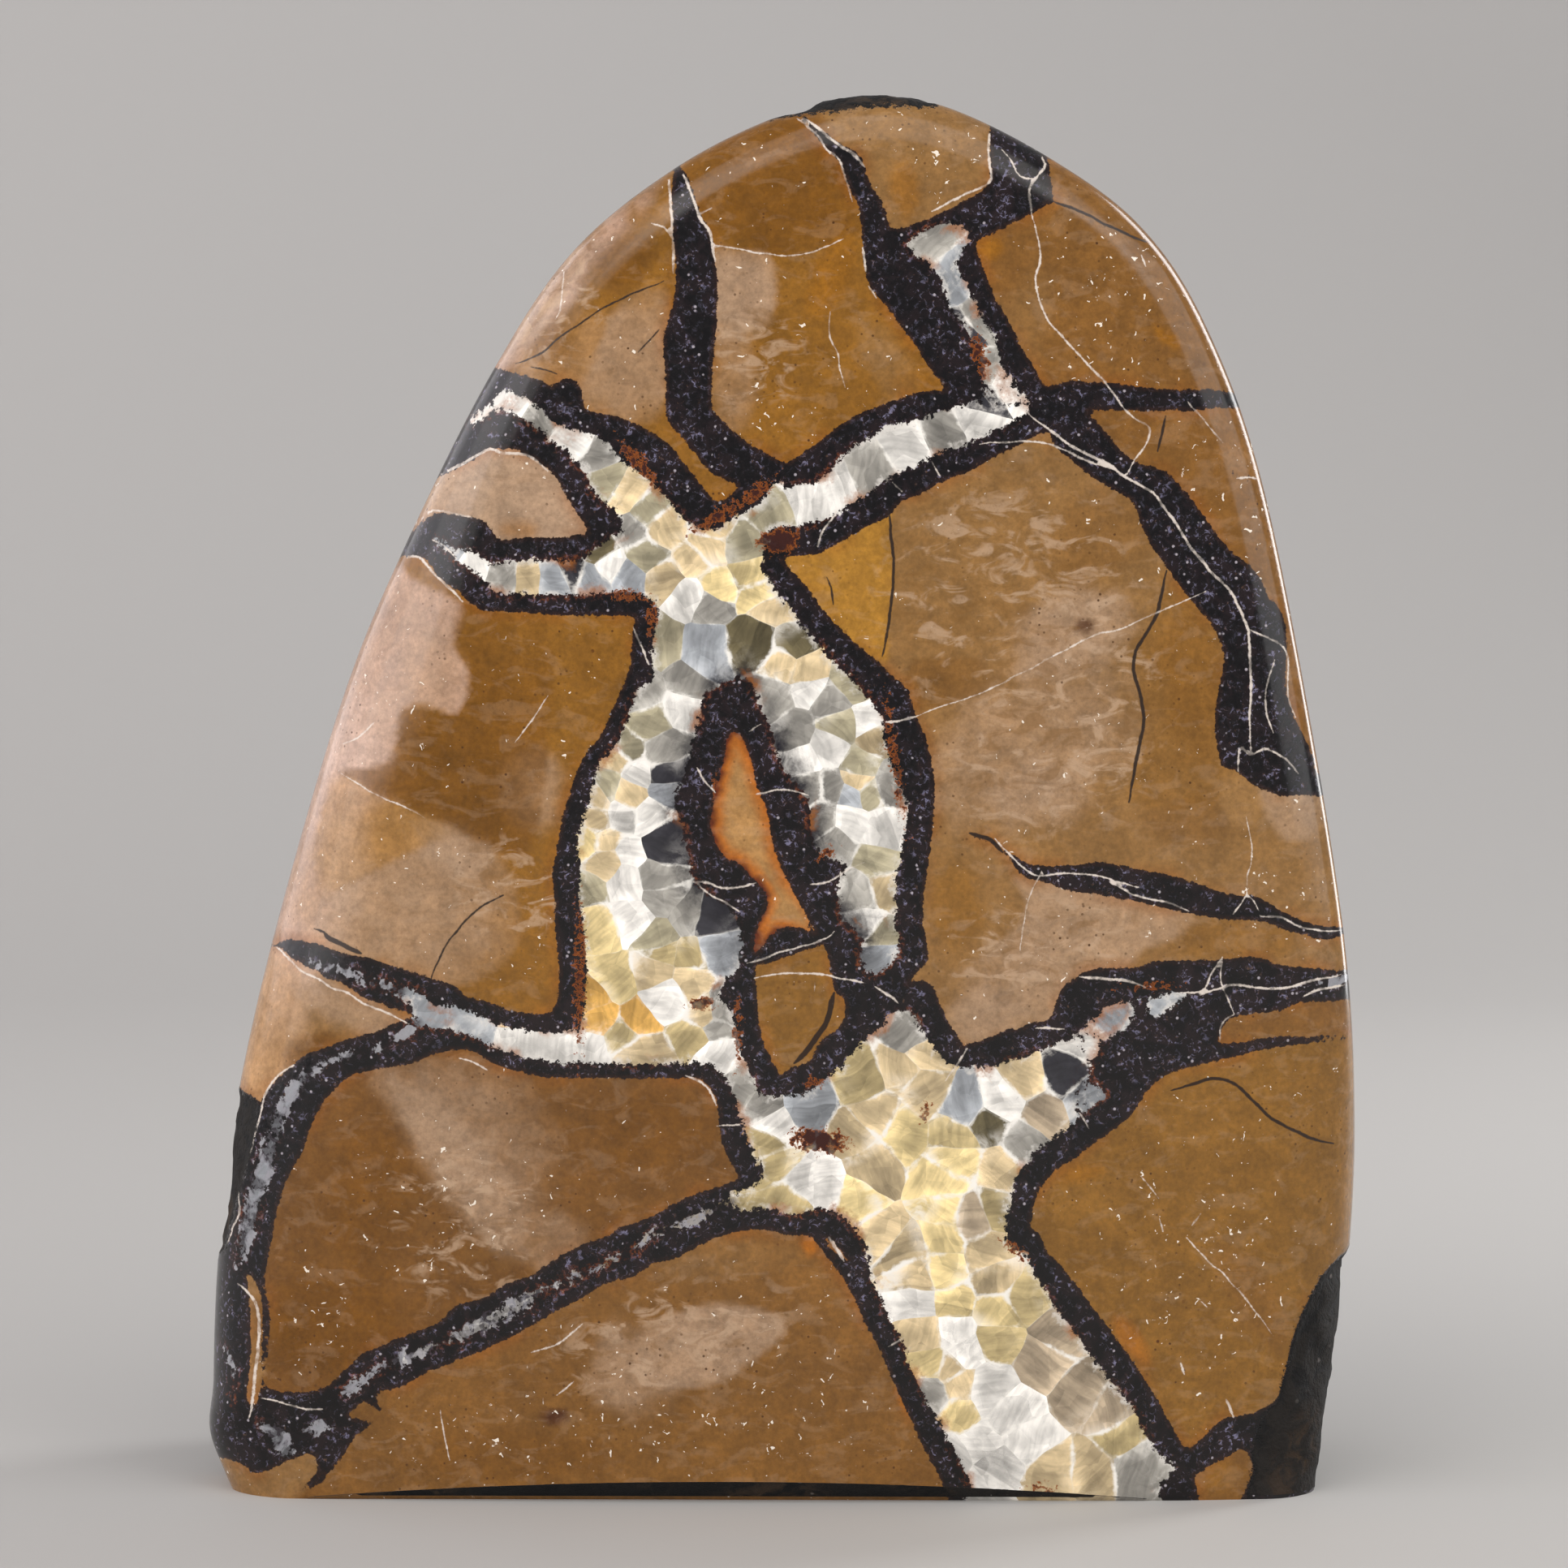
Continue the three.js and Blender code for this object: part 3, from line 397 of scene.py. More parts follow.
# Fine cracks filled with pale calcite: half width, then points along the crack.
PALE_LINES = [
    (0.16, [(-16, 93.5), (-15.2, 91.7), (-14.3, 89.7)]),
    (0.2, [(-12.4, 141.6), (-12.1, 139), (-11.9, 136), (-11.8, 133), (-11.7, 130.8)]),
    (0.2, [
        (-11.3, 142), (-10.3, 140.5), (-9.6, 138.5), (-9, 136.7), (-7.9, 135.2), (-7.6, 133.5), (-7.3, 132),
    ]),
    (0.1, [(-9.1, 136.9), (-7.7, 137.7)]),
    (0.12, [(-14, 136), (-12.6, 135.6), (-12, 134.6)]),
    (0.09, [(-7.3, 133.7), (-5, 133.3), (-2, 132.8), (1, 132.6), (4, 133.4), (6.2, 134.4)]),
    (0.14, [(1.3, 147.2), (3.3, 145.4), (4.6, 143.6), (5.6, 142.9), (6.3, 141), (7.1, 138.3)]),
    (0.2, [(2.1, 147.2), (4, 145.6), (6, 144), (7.3, 143.3), (8.4, 141.9)]),
    (0.16, [(8.2, 133.5), (8.5, 131)]),
    (0.14, [(8.8, 129.4), (9.7, 128.2)]),
    (0.08, [(4.8, 126.8), (4.7, 124), (5.5, 122.5), (5.8, 120.5), (6.4, 118.8)]),
    (0.18, [
        (21.7, 147), (21.5, 143.8), (21.6, 142), (21.7, 140.6), (20.5, 139.8), (18, 138.6), (15.5, 137.3),
    ]),
    (0.12, [(22.9, 143.9), (23.9, 142.6), (24.8, 141), (26, 140.8)]),
    (0.18, [(26.6, 144.3), (27.3, 143), (27.5, 142), (26.4, 140.8), (25.8, 139.4), (26, 137.2)]),
    (0.13, [
        (26, 137), (26.7, 134.5), (26.9, 132), (26.4, 130.2), (27, 127.5), (28, 125.5), (30, 123.3),
        (32, 121.2), (34, 119), (35.5, 117), (37, 115.4), (38.5, 114.6), (38.2, 113), (36.8, 111),
        (36.2, 109.8),
    ]),
    (0.19, [
        (24.5, 116.9), (27.5, 114.6), (31, 112.2), (34, 110.8), (36, 109.3), (38.7, 107.8), (40, 106.2),
        (41.3, 104.5), (43, 101.8), (45, 99.4), (47, 97.4), (48.3, 95), (49, 93.2), (49.2, 90), (49.3, 86),
        (49.2, 83), (49.3, 80.4),
    ]),
    (0.12, [(20.5, 112.9), (26.5, 113.1), (29, 112.4), (32, 111), (35, 110.1)]),
    (0.13, [(49.2, 93.2), (51, 92.4), (53, 91.2), (53.4, 89), (53.3, 86), (54.2, 83.9)]),
    (0.12, [(51.9, 90), (51, 87), (51, 84.5), (51.8, 82.3)]),
    (0.14, [(48, 78.3), (48.2, 80.8), (49.3, 80), (51, 80.6), (53, 79.6), (54.5, 78)]),
    (0.17, [(10.6, 83.6), (12, 83.7), (13.8, 84.2)]),
    (0.09, [
        (13.8, 84.2), (16, 85), (19, 86), (22, 87.2), (25, 88.7), (27, 89.8), (30, 91.4), (33, 92.9),
        (35, 93.2), (38, 94.5), (40, 95.4), (42, 96.2), (44.5, 97.3),
    ]),
    (0.14, [(47.8, 109.2), (49.3, 109.4), (50.3, 108.9)]),
    (0.1, [(42.5, 117.3), (44.3, 115.3), (46.3, 113)]),
    (0.2, [
        (-38, 108.8), (-36.5, 109.6), (-34, 110.8), (-31.2, 112.3), (-30, 111.9), (-27, 111.6), (-25, 110),
    ]),
    (0.15, [(-40.4, 103.7), (-38.5, 105), (-37.3, 105.8), (-35.5, 105.6), (-33, 105.1)]),
    (0.18, [(-42, 100.6), (-40, 100.9), (-38.6, 100.8), (-37.5, 99.6), (-35.8, 98), (-34, 96.2)]),
    (0.12, [(-37.3, 102.8), (-35.8, 102), (-34.7, 100.7)]),
    (0.09, [(-47.3, 77.9), (-45.5, 77), (-43, 75.6), (-40.5, 74.7), (-38, 73.3)]),
    (0.12, [(-47, 81), (-45, 82), (-43.6, 83.4)]),
    (0.08, [(-28.5, 81.4), (-26.5, 84), (-25, 86.3)]),
    (0.1, [(-23.2, 132), (-23.5, 130), (-23.6, 127.5), (-24.2, 126)]),
    (0.16, [
        (-56.5, 58.8), (-54.5, 58.9), (-53.5, 58.3), (-51.5, 56.8), (-49.5, 56), (-48, 55.1), (-46.5, 54.8),
        (-45, 53.7), (-43, 53), (-41.5, 52.3), (-39.8, 51.4),
    ]),
    (0.15, [(-52.3, 46.9), (-53.5, 46.1), (-55, 44.6), (-55.6, 43.2), (-56.2, 41), (-57, 38), (-57.8, 35.4)]),
    (0.1, [(-34.5, 47.8), (-33, 47.4), (-31.5, 46.6)]),
    (0.12, [
        (22.2, 71.2), (23.5, 69.8), (25, 68.3), (26.8, 67.3), (29, 67.5), (31.5, 67.5), (33.8, 67.1),
        (35.5, 66.5), (37.5, 66),
    ]),
    (0.07, [(27.2, 67.8), (26.5, 66.5), (25.6, 64.5), (25.2, 62), (24.9, 59.3)]),
    (0.12, [(34.5, 66.5), (36.5, 65.4), (39, 64.7), (41, 64.3), (42.8, 63.4)]),
    (0.1, [(47.5, 63), (48.3, 64), (49, 65), (49.8, 64.4), (50.3, 63.4)]),
    (0.07, [(49, 65.2), (49, 67), (49.5, 69), (49.3, 71.5), (48.9, 73.5)]),
    (0.13, [(50.5, 62.8), (52.5, 62.7), (54.5, 61.8), (57, 61.2), (59.3, 61.1)]),
    (0.19, [(31.2, 56.5), (33, 56.4), (35.5, 56.2), (37.3, 55.8), (38.3, 55.4)]),
    (0.13, [(41.8, 54.8), (44.2, 55), (45.3, 56.8), (46.4, 58.5)]),
    (0.17, [(44, 54.5), (46, 55.2), (48, 55.6), (50.5, 55.2), (53, 55.2), (56, 55.9), (59.3, 56.4)]),
    (0.17, [(55, 54.2), (57, 55), (59.8, 55.2)]),
    (0.08, [(46.4, 58), (46.3, 56), (47, 54), (47.6, 52.8)]),
    (0.1, [(47.8, 52.4), (46.8, 51.9), (46.3, 51), (46.2, 49.6)]),
    (0.14, [(26.5, 51.2), (29.6, 51)]),
    (0.12, [(20.8, 47.2), (22, 45.2)]),
    (0.13, [(31.2, 42), (32.3, 40.3)]),
    (0.24, [(-58.7, 23), (-57.3, 22), (-56.4, 20.5), (-56.3, 17), (-56.8, 13), (-57.2, 9.5), (-57.5, 8.5)]),
    (0.14, [(-59.2, 36), (-58.5, 31), (-59.2, 29), (-60, 27)]),
    (0.08, [(-36.8, 10), (-36.3, 7), (-35.8, 4.5)]),
    (0.12, [(-27, 16.3), (-24, 17.4), (-21.5, 19.5)]),
    (0.1, [(-24.3, 11.7), (-22.5, 13.2)]),
    (0.12, [(-56, 11), (-52, 10), (-49.5, 9.8)]),
    (0.15, [(11, 17), (12.7, 18)]),
    (0.26, [(4.6, 28.8), (5.5, 27.6), (6.3, 26.2)]),
    (0.07, [(37.8, 35.2), (39.8, 32.8)]),
    (0.14, [(39.8, 30.6), (40.2, 29.2)]),
    (0.09, [(42.8, 28.5), (45, 26), (46.5, 24.8), (48.3, 22.8), (50, 20.8), (52.2, 17.8)]),
    (0.12, [(44.2, 31), (43.3, 29.8)]),
    (0.2, [(42.2, 15), (42.6, 13.7)]),
    (0.2, [(47.1, 10.9), (48, 9)]),
    (0.1, [(44.4, 21.6), (45, 21)]),
    (0.16, [(-9.7, 66.7), (-8, 66.6), (-6.5, 66), (-4.5, 66.2), (-3, 66.6)]),
    (0.12, [(-9.3, 66.5), (-7.8, 65.3), (-6, 64.4), (-4.8, 63.6)]),
    (0.13, [(-4, 58.1), (-2.5, 58.5), (-1, 59.1), (1, 59.7), (3, 60.2), (4.5, 60.8), (5.2, 61.5)]),
    (0.13, [(-3.2, 56.5), (-1, 56.9), (1.5, 57), (4, 56.9), (6, 56.5), (8.5, 56)]),
    (0.18, [(9.5, 55.6), (11, 54.6), (12, 53.8)]),
    (0.11, [(2.7, 66.4), (4.5, 66.7), (6.5, 67.9), (8.5, 68.8)]),
    (0.14, [(-10.5, 46.1), (-9, 45.5), (-7.9, 44.5), (-7.3, 43)]),
    (0.12, [(-7.2, 40.7), (-4.8, 40.9)]),
    (0.14, [(19.3, 49), (18, 47), (17, 45.5)]),
    (0.15, [(3.1, 56), (3.1, 55.1)]),
    (0.12, [(15.5, 111), (16.3, 109.5)]),
    (0.1, [(11.3, 108.8), (12.3, 107.8)]),
    (0.14, [(3.5, 102), (4, 103.6), (5, 105), (5.4, 105.8)]),
    (0.13, [(-9.3, 78.8), (-8.3, 77.2), (-7.3, 76.1)]),
    (0.1, [(-3, 76), (-1, 76.4), (1, 76.3), (2.5, 75.8)]),
    (0.1, [(-3.8, 82.6), (-2.5, 83.3)]),
    (0.15, [(37.7, 132.8), (38.1, 131.5)]),
]
# Fine dark cracks, in the same form.
DARK_LINES = [
    (0.14, [(11, 106), (11.2, 103), (11.5, 100.5), (11.3, 97), (10.9, 93.5), (10.3, 90.5)]),
    (0.1, [(4.4, 98.9), (4.9, 97.5), (5.1, 96)]),
    (0.08, [
        (-28.5, 121.3), (-26, 122.2), (-23.5, 124.2), (-21.5, 125.5), (-19.5, 126.9), (-16.5, 128.4),
        (-12.7, 129.9),
    ]),
    (0.07, [(-26.8, 121), (-24, 120.2)]),
    (0.07, [(-15.5, 122.5), (-13.2, 124.9)]),
    (0.13, [(28.1, 138.5), (31, 137.4), (33.2, 136.3), (35.5, 135.2), (38.5, 134.1)]),
    (0.12, [(40.2, 115.8), (39.8, 114), (39.4, 112)]),
    (0.17, [
        (40.3, 99.5), (39.6, 96), (38.8, 94), (37.3, 91.5), (36.8, 89.5), (37.4, 87), (37.9, 84), (37.5, 81),
        (36.9, 78), (36.4, 75),
    ]),
    (0.1, [(-50.2, 61.3), (-49, 61), (-48, 60.3)]),
    (0.24, [(-48.9, 60.6), (-47.3, 60), (-45.8, 59.3), (-45, 58.9)]),
    (0.09, [(-29.8, 65.2), (-32, 64), (-34, 62.3), (-35.8, 60), (-36.8, 58), (-37.5, 56.2)]),
    (0.2, [(19.5, 71.8), (21.5, 71.2), (23, 69.8)]),
    (0.16, [
        (41, 44.4), (43.3, 45), (45.5, 45.6), (47.5, 45.1), (49.5, 43.5), (51.5, 41.5), (54, 40),
        (56.5, 38.8), (58.7, 38.2),
    ]),
    (0.28, [(5.2, 55), (4.7, 53), (4.2, 51.5), (3, 49.8), (2, 48.5), (1, 47.5)]),
]

# Natural crust that shows on the front.
CRUST = {
    "crown": [
        (-2.2, 147.1), (0, 147.4), (3, 147.7), (6, 148), (9, 148.4), (12, 148.5), (15, 148.3), (16.2, 148.6),
        (14, 153), (0, 153),
    ],
    "lower_right": [
        (66, 28), (60, 25.8), (57.7, 24), (56.6, 22.3), (55.3, 20), (54.2, 17), (53.7, 14.5), (53.2, 12.4),
        (52.7, 10.9), (51.5, 9.5), (50.8, 8), (50.3, 6.5), (50, 5), (50.2, 3.5), (49.7, 1.5), (49.2, -2),
        (66, -2),
    ],
    "left": [
        (-66, 43.5), (-58.8, 43.4), (-57, 42.8), (-56.4, 42), (-57, 38), (-58.2, 34), (-59.5, 30),
        (-60.5, 26), (-66, 24),
    ],
}

# Paler, pinker or darker clouds in the limestone: middle x and z, half width and height, turn in degrees,
# tone, strength.
CLOUDS = [
    # The pale pinkish clouds along the left edge and the upper left shoulder are partly a painted reflection
    # of the softboxes on the left.
    (-50, 70, 5.5, 17, -16, "pale_and_glare", 0.8), (-56, 50, 4.5, 9, -10, "sand", 0.8),
    (-45, 64, 8, 6, 0, "sand", 0.5), (-27.2, 125.8, 1.9, 16, -43, "pale_and_glare", 0.75),
    (-22, 121.5, 6, 3.2, 40, "sand", 0.45), (-24, 123, 2, 3, 0, "deep", 0.4),
    (-17, 132, 3.6, 2.6, 35, "deep", 0.7), (5, 131, 2, 5, -20, "stain", 0.6),
    (12.6, 139.4, 1.5, 3, 10, "stain", 0.6), (-5.4, 119.5, 2.2, 4.5, 0, "pink", 0.4),
    (11, 121, 2, 5, 30, "tan", 0.7), (14, 119, 2.6, 1.6, 0, "stain", 0.4),
    (21.3, 133.4, 1.6, 1.2, 0, "stain", 0.8), (34, 129, 7, 4, 0, "umber", 0.6),
    (40.5, 124, 1.8, 0.7, -35, "stain", 0.8), (24, 123, 3, 8, -20, "tan", 0.6),
    (-31, 107.5, 4, 2.8, 0, "pink", 0.5), (-28, 103.8, 2, 1, 0, "stain", 0.5),
    (30, 93, 6.5, 4, 25, "pink", 0.7), (43, 88, 3.4, 8, 10, "umber", 0.8), (26, 81, 11, 7, 25, "pink", 0.45),
    (33, 103, 6, 4, 30, "umber", 0.5), (27, 76, 5, 3.4, 0, "pink", 0.4), (18, 64, 3, 5, 0, "ochre", 0.7),
    (21, 52.5, 4, 3, 20, "pink", 0.6), (47, 60.5, 7, 2.4, 0, "ochre", 0.6), (43, 73, 5, 3, 0, "umber", 0.5),
    (-26.6, 76.5, 3.2, 4, 0, "pink", 0.55), (-37.4, 89, 2.8, 4.6, 0, "bright", 0.5),
    (-42, 72, 3.4, 2.6, 0, "ochre", 0.8), (-47, 69, 3.4, 5, 0, "pink", 0.5),
    (-27, 58, 3, 4.4, 0, "ochre", 0.8), (-35, 70, 4, 2.6, -30, "pink", 0.6),
    (-50, 48.4, 3.6, 1.8, 15, "deep", 0.8), (-46, 53, 6, 2, -25, "pink", 0.6),
    (-35, 37, 12.5, 3.1, -52, "pink", 0.55), (-44, 33, 4.6, 8, -10, "deep", 0.85),
    (-48, 19, 8, 6, 0, "deep", 0.9), (-14, 40, 6, 4, 0, "deep", 0.6), (-24, 28, 3, 3, 0, "pink", 0.35),
    (-16.5, 14.5, 4.4, 4.6, 20, "pink", 0.6), (-30, 5, 10, 3, 0, "deep", 0.5), (3, 10, 5, 6, 0, "umber", 0.6),
    (2.6, 28, 0.9, 1.1, 0, "flame", 0.95), (12.6, 11, 0.5, 1.6, 25, "flame", 0.7),
    (-7, 26.5, 8, 2, 5, "tan", 0.5), (37, 17.5, 1, 3, 35, "flame", 0.5), (50, 22, 2.6, 6, 30, "umber", 0.7),
    (31, 35.6, 2.4, 1, 10, "stain", 0.6), (46.5, 2.6, 2.4, 1.6, 0, "ochre", 0.7),
    (31.7, 93.6, 1.1, 0.8, 0, "rust", 0.8), (8.7, 95.1, 0.5, 0.5, 0, "rust", 1.0),
    (-24.6, 9.3, 1.5, 0.8, 0, "rust", 1.0),
]

# Patches of limestone that end sharply at an old crack: tone, strength, the place where the patch is
# strongest, how far it reaches from there, outline.
PATCHES = [
    # Partly painted reflection: the pale pinkish left shoulder where the glare of the softboxes on the left
    # lies, ending sharply at the crack.
    ("pale_and_glare", 0.6, -46, 90, 34, [
        (-34, 96), (-34.9, 92), (-33.4, 89), (-33.6, 86), (-35, 84.3), (-38, 85.3), (-40.6, 84.6),
        (-41, 81.5), (-42.5, 79), (-47.4, 78), (-52, 76), (-60, 72), (-60, 84), (-54, 96), (-46, 106),
        (-40, 99),
    ]),
    ("deep", 0.75, -38, 79, 26, [
        (-34, 96), (-34.9, 92), (-33.4, 89), (-33.6, 86), (-35, 84.3), (-38, 85.3), (-40.6, 84.6),
        (-41, 81.5), (-42.5, 79), (-47.4, 78), (-43, 75.7), (-40, 74.6), (-36.5, 73), (-30, 69.6), (-26, 72),
        (-24.7, 96),
    ]),
    ("orange", 0.55, -45, 72, 14, [
        (-47.4, 77.8), (-43, 75.5), (-40, 74.4), (-36.5, 72.8), (-35.5, 71.3), (-39.7, 69.7), (-43, 68),
        (-47.5, 65.4), (-50, 66), (-50, 72),
    ]),
    ("pink", 0.6, -39, 65, 15, [
        (-35.5, 71.3), (-39.7, 69.7), (-43, 68), (-47.5, 65.4), (-53, 62), (-46, 58), (-36, 55), (-28, 60),
        (-30, 69.6),
    ]),
    ("bright", 0.95, 4, 97, 30, [
        (-2, 101.5), (3, 101.8), (8, 104.5), (11.2, 106.4), (11, 103), (11.4, 100.5), (11.3, 97),
        (10.9, 93.5), (10.2, 89.5), (4, 94), (0, 98),
    ]),
    ("deep", 0.5, 15, 88, 9, [
        (13, 89.5), (15, 90.2), (18, 90.5), (21.5, 89.6), (21.3, 87), (18, 85.7), (13, 84.6),
    ]),
    ("ochre", 0.5, 41, 87, 22, [
        (40.3, 99.5), (39.6, 96), (38.8, 94), (37.3, 91.5), (36.8, 89.5), (37.4, 87), (37.9, 84), (37.5, 81),
        (36.9, 78), (36.4, 75), (44, 74), (48, 78), (47, 92),
    ]),
    ("pink", 0.65, 32, 60, 17, [
        (24, 67.4), (33, 66), (43.4, 63.6), (41.5, 60.5), (38, 59.4), (36, 57), (29, 52), (19, 49), (17, 56),
        (20, 58.5), (24, 61.5), (25.5, 64.5),
    ]),
    ("orange", 0.7, 48, 75, 4, [(46, 79), (50.3, 77), (50.6, 74), (49.5, 72.3), (47, 72.8), (46.1, 75)]),
    ("pink", 0.6, 52, 74, 8, [(50.3, 77), (58, 76), (57, 72), (54, 70.6), (52, 72)]),
    ("pink", 0.45, -37, 37, 16, [
        (-41.6, 47), (-39.8, 40), (-37.5, 36.5), (-34.5, 32.5), (-31.5, 27.6), (-25, 22), (-22, 34),
        (-28, 47),
    ]),
    ("pink", 0.75, -6, 17, 13, [
        (-17.5, 12.6), (-15.3, 18), (-12, 20.5), (-7, 21.8), (-1, 20.6), (0, 18.6), (-3.6, 15.4), (-8, 12.8),
    ]),
    ("deep", 0.8, -1, 141, 14, [
        (-12, 144), (-9, 137), (-7.3, 133.7), (-5, 133.3), (-2, 132.8), (1, 132.6), (4, 133.4), (6.2, 134.4),
        (9, 136), (6, 143), (2, 150), (-8, 150),
    ]),
    ("pink", 0.85, -5, 129, 7, [
        (-7.6, 133.4), (-5, 133.2), (-1.6, 132.8), (-0.8, 128.6), (-2.4, 124.4), (-7.6, 122.8),
    ]),
    ("pink", 0.6, -16, 122, 10, [
        (-22.5, 117), (-20.5, 121), (-17.5, 127.6), (-12.7, 129.6), (-12, 124), (-12.4, 118), (-15, 114.6),
    ]),
    ("pink", 0.6, -26, 129, 11, [(-30, 121), (-26, 124.4), (-20, 133), (-15, 139), (-24, 140), (-34, 124)]),
]

# Where the limestone is full of pale wisps, and where of white flecks: middle x and z, half width and height,
# turn in degrees.
WISPY = [
    (24, 96, 15, 13, -20), (28, 80, 12, 9, 10), (33, 89, 8, 8, 0), (27, 60, 12, 5, 10), (-12, 18, 14, 6, 15),
    (-34, 30, 9, 9, -40), (-24, 128, 6, 8, -40), (-3, 122, 6, 6, 0), (-28, 66, 8, 6, 0),
]
FLECKED = [
    (15, 142, 9, 6, -10), (34, 128, 10, 10, -40), (-24, 133, 8, 4, 48), (-6, 142, 7, 4, 20),
    (-4, 118, 6, 6, 0), (48, 108, 6, 9, 25), (-36, 32, 12, 9, 0), (44, 28, 10, 14, 0), (-42, 86, 7, 6, 40),
    (-22, 8, 20, 5, 0), (52, 66, 5, 5, 0), (0, 12, 8, 8, 0), (-50, 20, 5, 6, 0),
]

# Where smoky calcite shows the dark lining through it, in the same form.
SMOKY = [
    (-8.6, 70, 6.2, 15, 2), (1, 76, 6, 11, 12), (7, 61.5, 4, 4, 0), (-5.5, 88, 3.5, 3, 0), (30, 46, 3, 3, 0),
]

# Tones of the limestone and of the calcite. The pale pinkish tone given to the left shoulder is partly paler
# limestone, partly a painted reflection of the softboxes on the left.
STONE_TONES = {
    "ochre": "#865A1A", "tan": "#8A6538", "umber": "#7C5423", "brown": "#714A1B", "pink": "#AA8C70",
    "orange": "#A67C49", "bright": "#A57528", "deep": "#6E450B", "stain": "#96600F", "flame": "#A9620F",
    "rust": "#4A260A", "russet": "#825A21", "pale_and_glare": "#BFA08E", "sand": "#B58C62",
}
CRYSTAL_TONES = {
    "white": "#EEEAE2", "blue": "#AEB2B6", "grey": "#A5A198", "olive": "#ABA286", "khaki": "#6E6448",
    "smoke": "#38373C", "cream": "#D7C096", "honey": "#EED69B", "amber": "#DEAC5A", "taupe": "#BCA98E",
    "straw": "#C2AE7E",
}

# Rusty stars and smears in the calcite and its margins: middle x and z, half width and height, turn.
RUST = [
    (3.6, 39.2, 3.0, 1.4, -8), (-8.8, 53.7, 1.2, 0.7, 0), (-0.6, 102.6, 2.2, 1.4, 10),
    (-7, 105.2, 2.8, 0.6, 30), (-16.5, 96.9, 1.8, 0.5, 0), (-15.5, 111, 0.6, 2.4, 40),
    (14.9, 42.3, 0.4, 0.9, -20), (27.5, 1.6, 1.2, 0.4, 0), (-14, 94.6, 0.5, 1.6, 0), (11.6, 79, 0.4, 5, 8),
    (-21.7, 57, 0.5, 6, 0), (24.4, 27.4, 1.4, 0.4, -40), (-5, 50.6, 0.4, 2.4, 0), (20.6, 122, 0.7, 2.2, 10),
    (36, 68.9, 0.2, 0.2, 0), (-3.2, 107.6, 2.2, 0.6, 35), (38.6, 55.5, 2, 0.3, 0), (4.4, 69.8, 0.8, 0.4, 30),
    (3.1, 45.6, 0.8, 0.5, 0), (-7.2, 76.2, 0.3, 1.2, 0),
]


# Numbers of the form ----------------------------------------------------------------------------------------


def smooth_curve(points, steps, closed=True):
    """Catmull-Rom curve through the points, with that many steps from each to the next."""
    here = np.array(points, float)
    if closed:
        before, after, beyond = (np.roll(here, shift, 0) for shift in (1, -1, -2))
    else:
        before = np.vstack([here[:1], here[:-2]])
        after = here[1:]
        beyond = np.vstack([here[2:], here[-1:]])
        here = here[:-1]
    t = (np.arange(steps) / steps)[:, None, None]
    curve = 0.5 * (
        2 * here + (after - before) * t + (2 * before - 5 * here + 4 * after - beyond) * t**2
        + (3 * here - before - 3 * after + beyond) * t**3
    )
    curve = curve.transpose(1, 0, 2).reshape(-1, here.shape[1])
    return curve if closed else np.vstack([curve, np.array(points[-1], float)])


def evenly(curve, spacing, closed=True):
    """The curve with its points set that far apart."""
    line = np.vstack([curve, curve[:1]]) if closed else curve
    travel = np.r_[0, np.cumsum(np.hypot(*np.diff(line[:, :2], axis=0).T))]
    count = max(2, round(travel[-1] / spacing))
    stops = np.linspace(0, travel[-1], count, endpoint=False) if closed else np.linspace(0, travel[-1], count)
    return np.stack([np.interp(stops, travel, column) for column in line.T], axis=1)


EDGE = smooth_curve(OUTLINE, 40)
EDGE_ANGLE = np.arctan2(EDGE[:, 1] - HEART[1], EDGE[:, 0] - HEART[0])
EDGE_REACH = np.hypot(EDGE[:, 0] - HEART[0], EDGE[:, 1] - HEART[1])


def polar(x, z):
    """Angle and distance of a place from the heart of the stone."""
    return np.arctan2(z - HEART[1], x - HEART[0]), np.hypot(x - HEART[0], z - HEART[1])


def reach(angle):
    """Distance from the heart to the widest outline."""
    return np.interp(angle, EDGE_ANGLE, EDGE_REACH, period=2 * math.pi)


def shoulder_width(angle):
    """Width of the rolled shoulder, eased from one listed width to the next."""
    count = len(SHOULDER_WIDTHS)
    place = (angle / (2 * math.pi) * count) % count
    first = np.floor(place).astype(int) % count
    ease = (1 - np.cos(math.pi * (place - np.floor(place)))) / 2
    return SHOULDER_WIDTHS[first] * (1 - ease) + SHOULDER_WIDTHS[(first + 1) % count] * ease


def dome_y(x, z):
    """Depth of the domed face before its shoulder."""
    across = (x - HEART[0]) / FACE_HALF_WIDTH
    up = (z - HEART[1]) / FACE_HALF_HEIGHT
    return -CROWN_TO_CROWN / 2 + FACE_SAG * (across**2 + up**2)


def chamfer_y(x, z):
    """Depth of the sloping ground edge between the face and the foot."""
    return dome_y(HEART[0], 0) + FOOT_CHAMFER - z - math.tan(CHAMFER_TAPER) * x


def front_y(x, z):
    """Depth of the polished face, with its rolled shoulder and the ground edge over the foot."""
    angle, distance = polar(x, z)
    width = shoulder_width(angle)
    roll = np.clip((distance - reach(angle) + width) / width, 0, 1)
    face = dome_y(x, z) + SHOULDER_DROP * width * (1 - np.sqrt(1 - roll**2))
    return np.maximum(face, chamfer_y(x, z))


def rim_y(angle):
    """Depth at which the shoulder meets the straight side."""
    x, z = HEART[0] + reach(angle) * np.cos(angle), HEART[1] + reach(angle) * np.sin(angle)
    return dome_y(x, z) + SHOULDER_DROP * shoulder_width(angle)


def bumps(rounds, x, z):
    """Sum of round bumps, each falling off smoothly from its middle."""
    total = np.zeros_like(x, dtype=float)
    for middle_x, middle_z, radius, height in rounds:
        total += height * np.exp(-2 * ((x - middle_x) ** 2 + (z - middle_z) ** 2) / radius**2)
    return total


